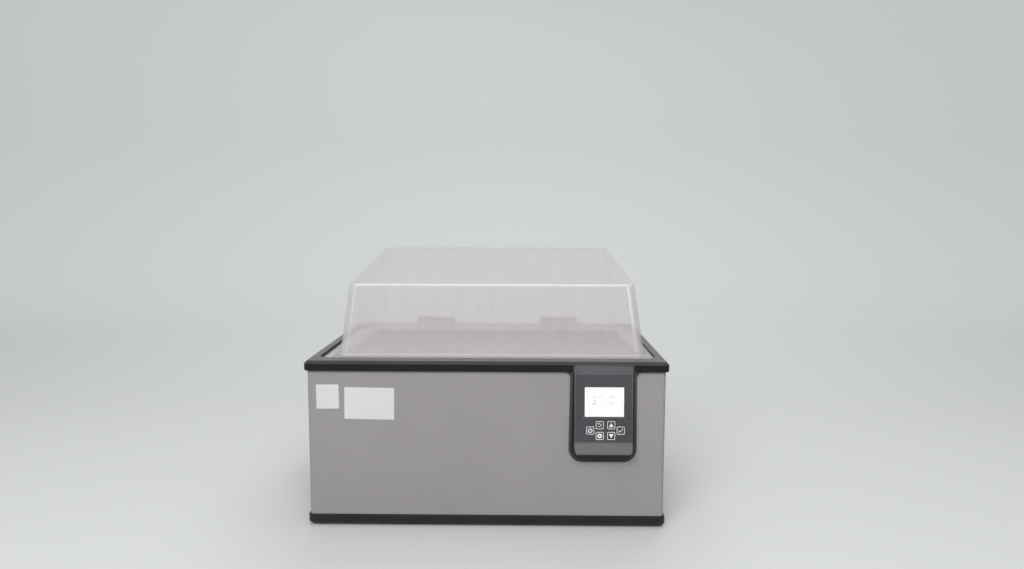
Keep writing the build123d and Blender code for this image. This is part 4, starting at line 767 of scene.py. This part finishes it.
def rays_seen(tree):
    """1 for rays from the camera and those that gloss or glass sends on, else 0."""
    rays = tree.nodes.new("ShaderNodeLightPath")
    seen = rays.outputs["Is Camera Ray"]
    for name in ("Is Glossy Ray", "Is Transmission Ray"):
        seen = either(tree, seen, rays.outputs[name])
    return seen


def studio_material():
    """Pale to the eye and in reflections, glowing far off, and dim in what it throws back on the object."""
    material, tree, shader = new_material("studio")
    seen = rays_seen(tree)
    deep = size_of(tree, part_of(tree, "Object", "Y"))
    wide = size_of(tree, part_of(tree, "Object", "X"))
    far = either(tree, rising(tree, deep, *FAR_BACK), rising(tree, wide, *FAR_ASIDE))
    paint = blended(tree, far, STUDIO_FLOOR, STUDIO_FAR)
    glow = blended(tree, far, BLACK, STUDIO_GLOW)
    tree.links.new(blended(tree, seen, STUDIO_BOUNCE, paint), shader.inputs["Base Color"])
    tree.links.new(blended(tree, seen, BLACK, glow), shader.inputs["Emission Color"])
    shader.inputs["Emission Strength"].default_value = 1.0
    shader.inputs["Roughness"].default_value = 0.8
    shader.inputs["Specular IOR Level"].default_value = 0.0
    return material


def make_stage():
    """A floor that curves up into a backdrop well behind the object."""
    near, depth, half, high = -4.0, 3.2, 6.0, 4.0
    bend, steps = 0.9, 16
    turns = [math.pi / 2 * n / steps for n in range(1, steps + 1)]
    line = [(near, 0.0), (depth - bend, 0.0)]
    line += [(depth - bend + bend * math.sin(turn), bend - bend * math.cos(turn)) for turn in turns]
    line.append((depth, high))
    mesh = bpy.data.meshes.new("studio")
    build = bmesh.new()
    rows = [[build.verts.new((x, y, z)) for x in (-half, half)] for y, z in line]
    for low, up in zip(rows, rows[1:]):
        build.faces.new((low[0], low[1], up[1], up[0]))
    build.to_mesh(mesh)
    build.free()
    for polygon in mesh.polygons:
        polygon.use_smooth = True
    studio = bpy.data.objects.new("studio", mesh)
    bpy.context.scene.collection.objects.link(studio)
    mesh.materials.append(studio_material())


def area_light(name, place, aim, size, power, mirrored=True):
    """A soft rectangular lamp that points at a place; mirrored is False where gloss leaves it out."""
    data = bpy.data.lights.new(name, "AREA")
    data.shape = "RECTANGLE"
    data.size, data.size_y = size
    data.energy = power
    lamp = bpy.data.objects.new(name, data)
    lamp.location = place
    lamp.rotation_euler = (Vector(aim) - Vector(place)).to_track_quat("-Z", "Y").to_euler()
    lamp.visible_glossy = mirrored
    bpy.context.scene.collection.objects.link(lamp)


def make_world():
    """Even pale light from all round, which looks the same tone as the backdrop."""
    world = bpy.data.worlds.new("studio")
    world.use_nodes = True
    tree = world.node_tree
    light = tree.nodes["Background"]
    light.inputs["Color"].default_value = (*SKY_TINT, 1)
    light.inputs["Strength"].default_value = SKY_STRENGTH
    seen = tree.nodes.new("ShaderNodeBackground")
    seen.inputs["Color"].default_value = (*STUDIO_SEEN, 1)
    mix = tree.nodes.new("ShaderNodeMixShader")
    tree.links.new(rays_seen(tree), mix.inputs["Fac"])
    tree.links.new(light.outputs["Background"], mix.inputs[1])
    tree.links.new(seen.outputs["Background"], mix.inputs[2])
    tree.links.new(mix.outputs["Shader"], tree.nodes["World Output"].inputs["Surface"])
    bpy.context.scene.world = world


def make_camera():
    """Camera at the photograph's viewpoint, solved from the object's edges."""
    place = (0.0547, -1.3201, 0.4985)
    pitch, yaw, roll = 5.92, 0.767, 0.115
    focal_px, frame_px = 750.0, 1024.0
    data = bpy.data.cameras.new("camera")
    data.sensor_width = 36.0
    data.lens = data.sensor_width * focal_px / frame_px
    camera = bpy.data.objects.new("camera", data)
    camera.location = place
    turn = Matrix.Rotation(math.radians(yaw), 4, "Z") @ Matrix.Rotation(math.radians(90 - pitch), 4, "X")
    camera.rotation_euler = (turn @ Matrix.Rotation(math.radians(roll), 4, "Z")).to_euler()
    bpy.context.scene.collection.objects.link(camera)
    bpy.context.scene.camera = camera


make_stage()
make_world()
area_light("ceiling", place=(0.2, 0.3, 2.6), aim=(0, 0, 0.2), size=(3.4, 2.6), power=18)
area_light("back_fill", place=(0.3, 1.8, 2.7), aim=(0, 0, 0.1), size=(2.4, 1.4), power=34, mirrored=False)
area_light("front_fill", place=(-0.3, -2.5, 2.1), aim=(0, 0, 0.2), size=(2.8, 1.6), power=88, mirrored=False)
make_camera()
bpy.context.scene.view_settings.view_transform = "Standard"
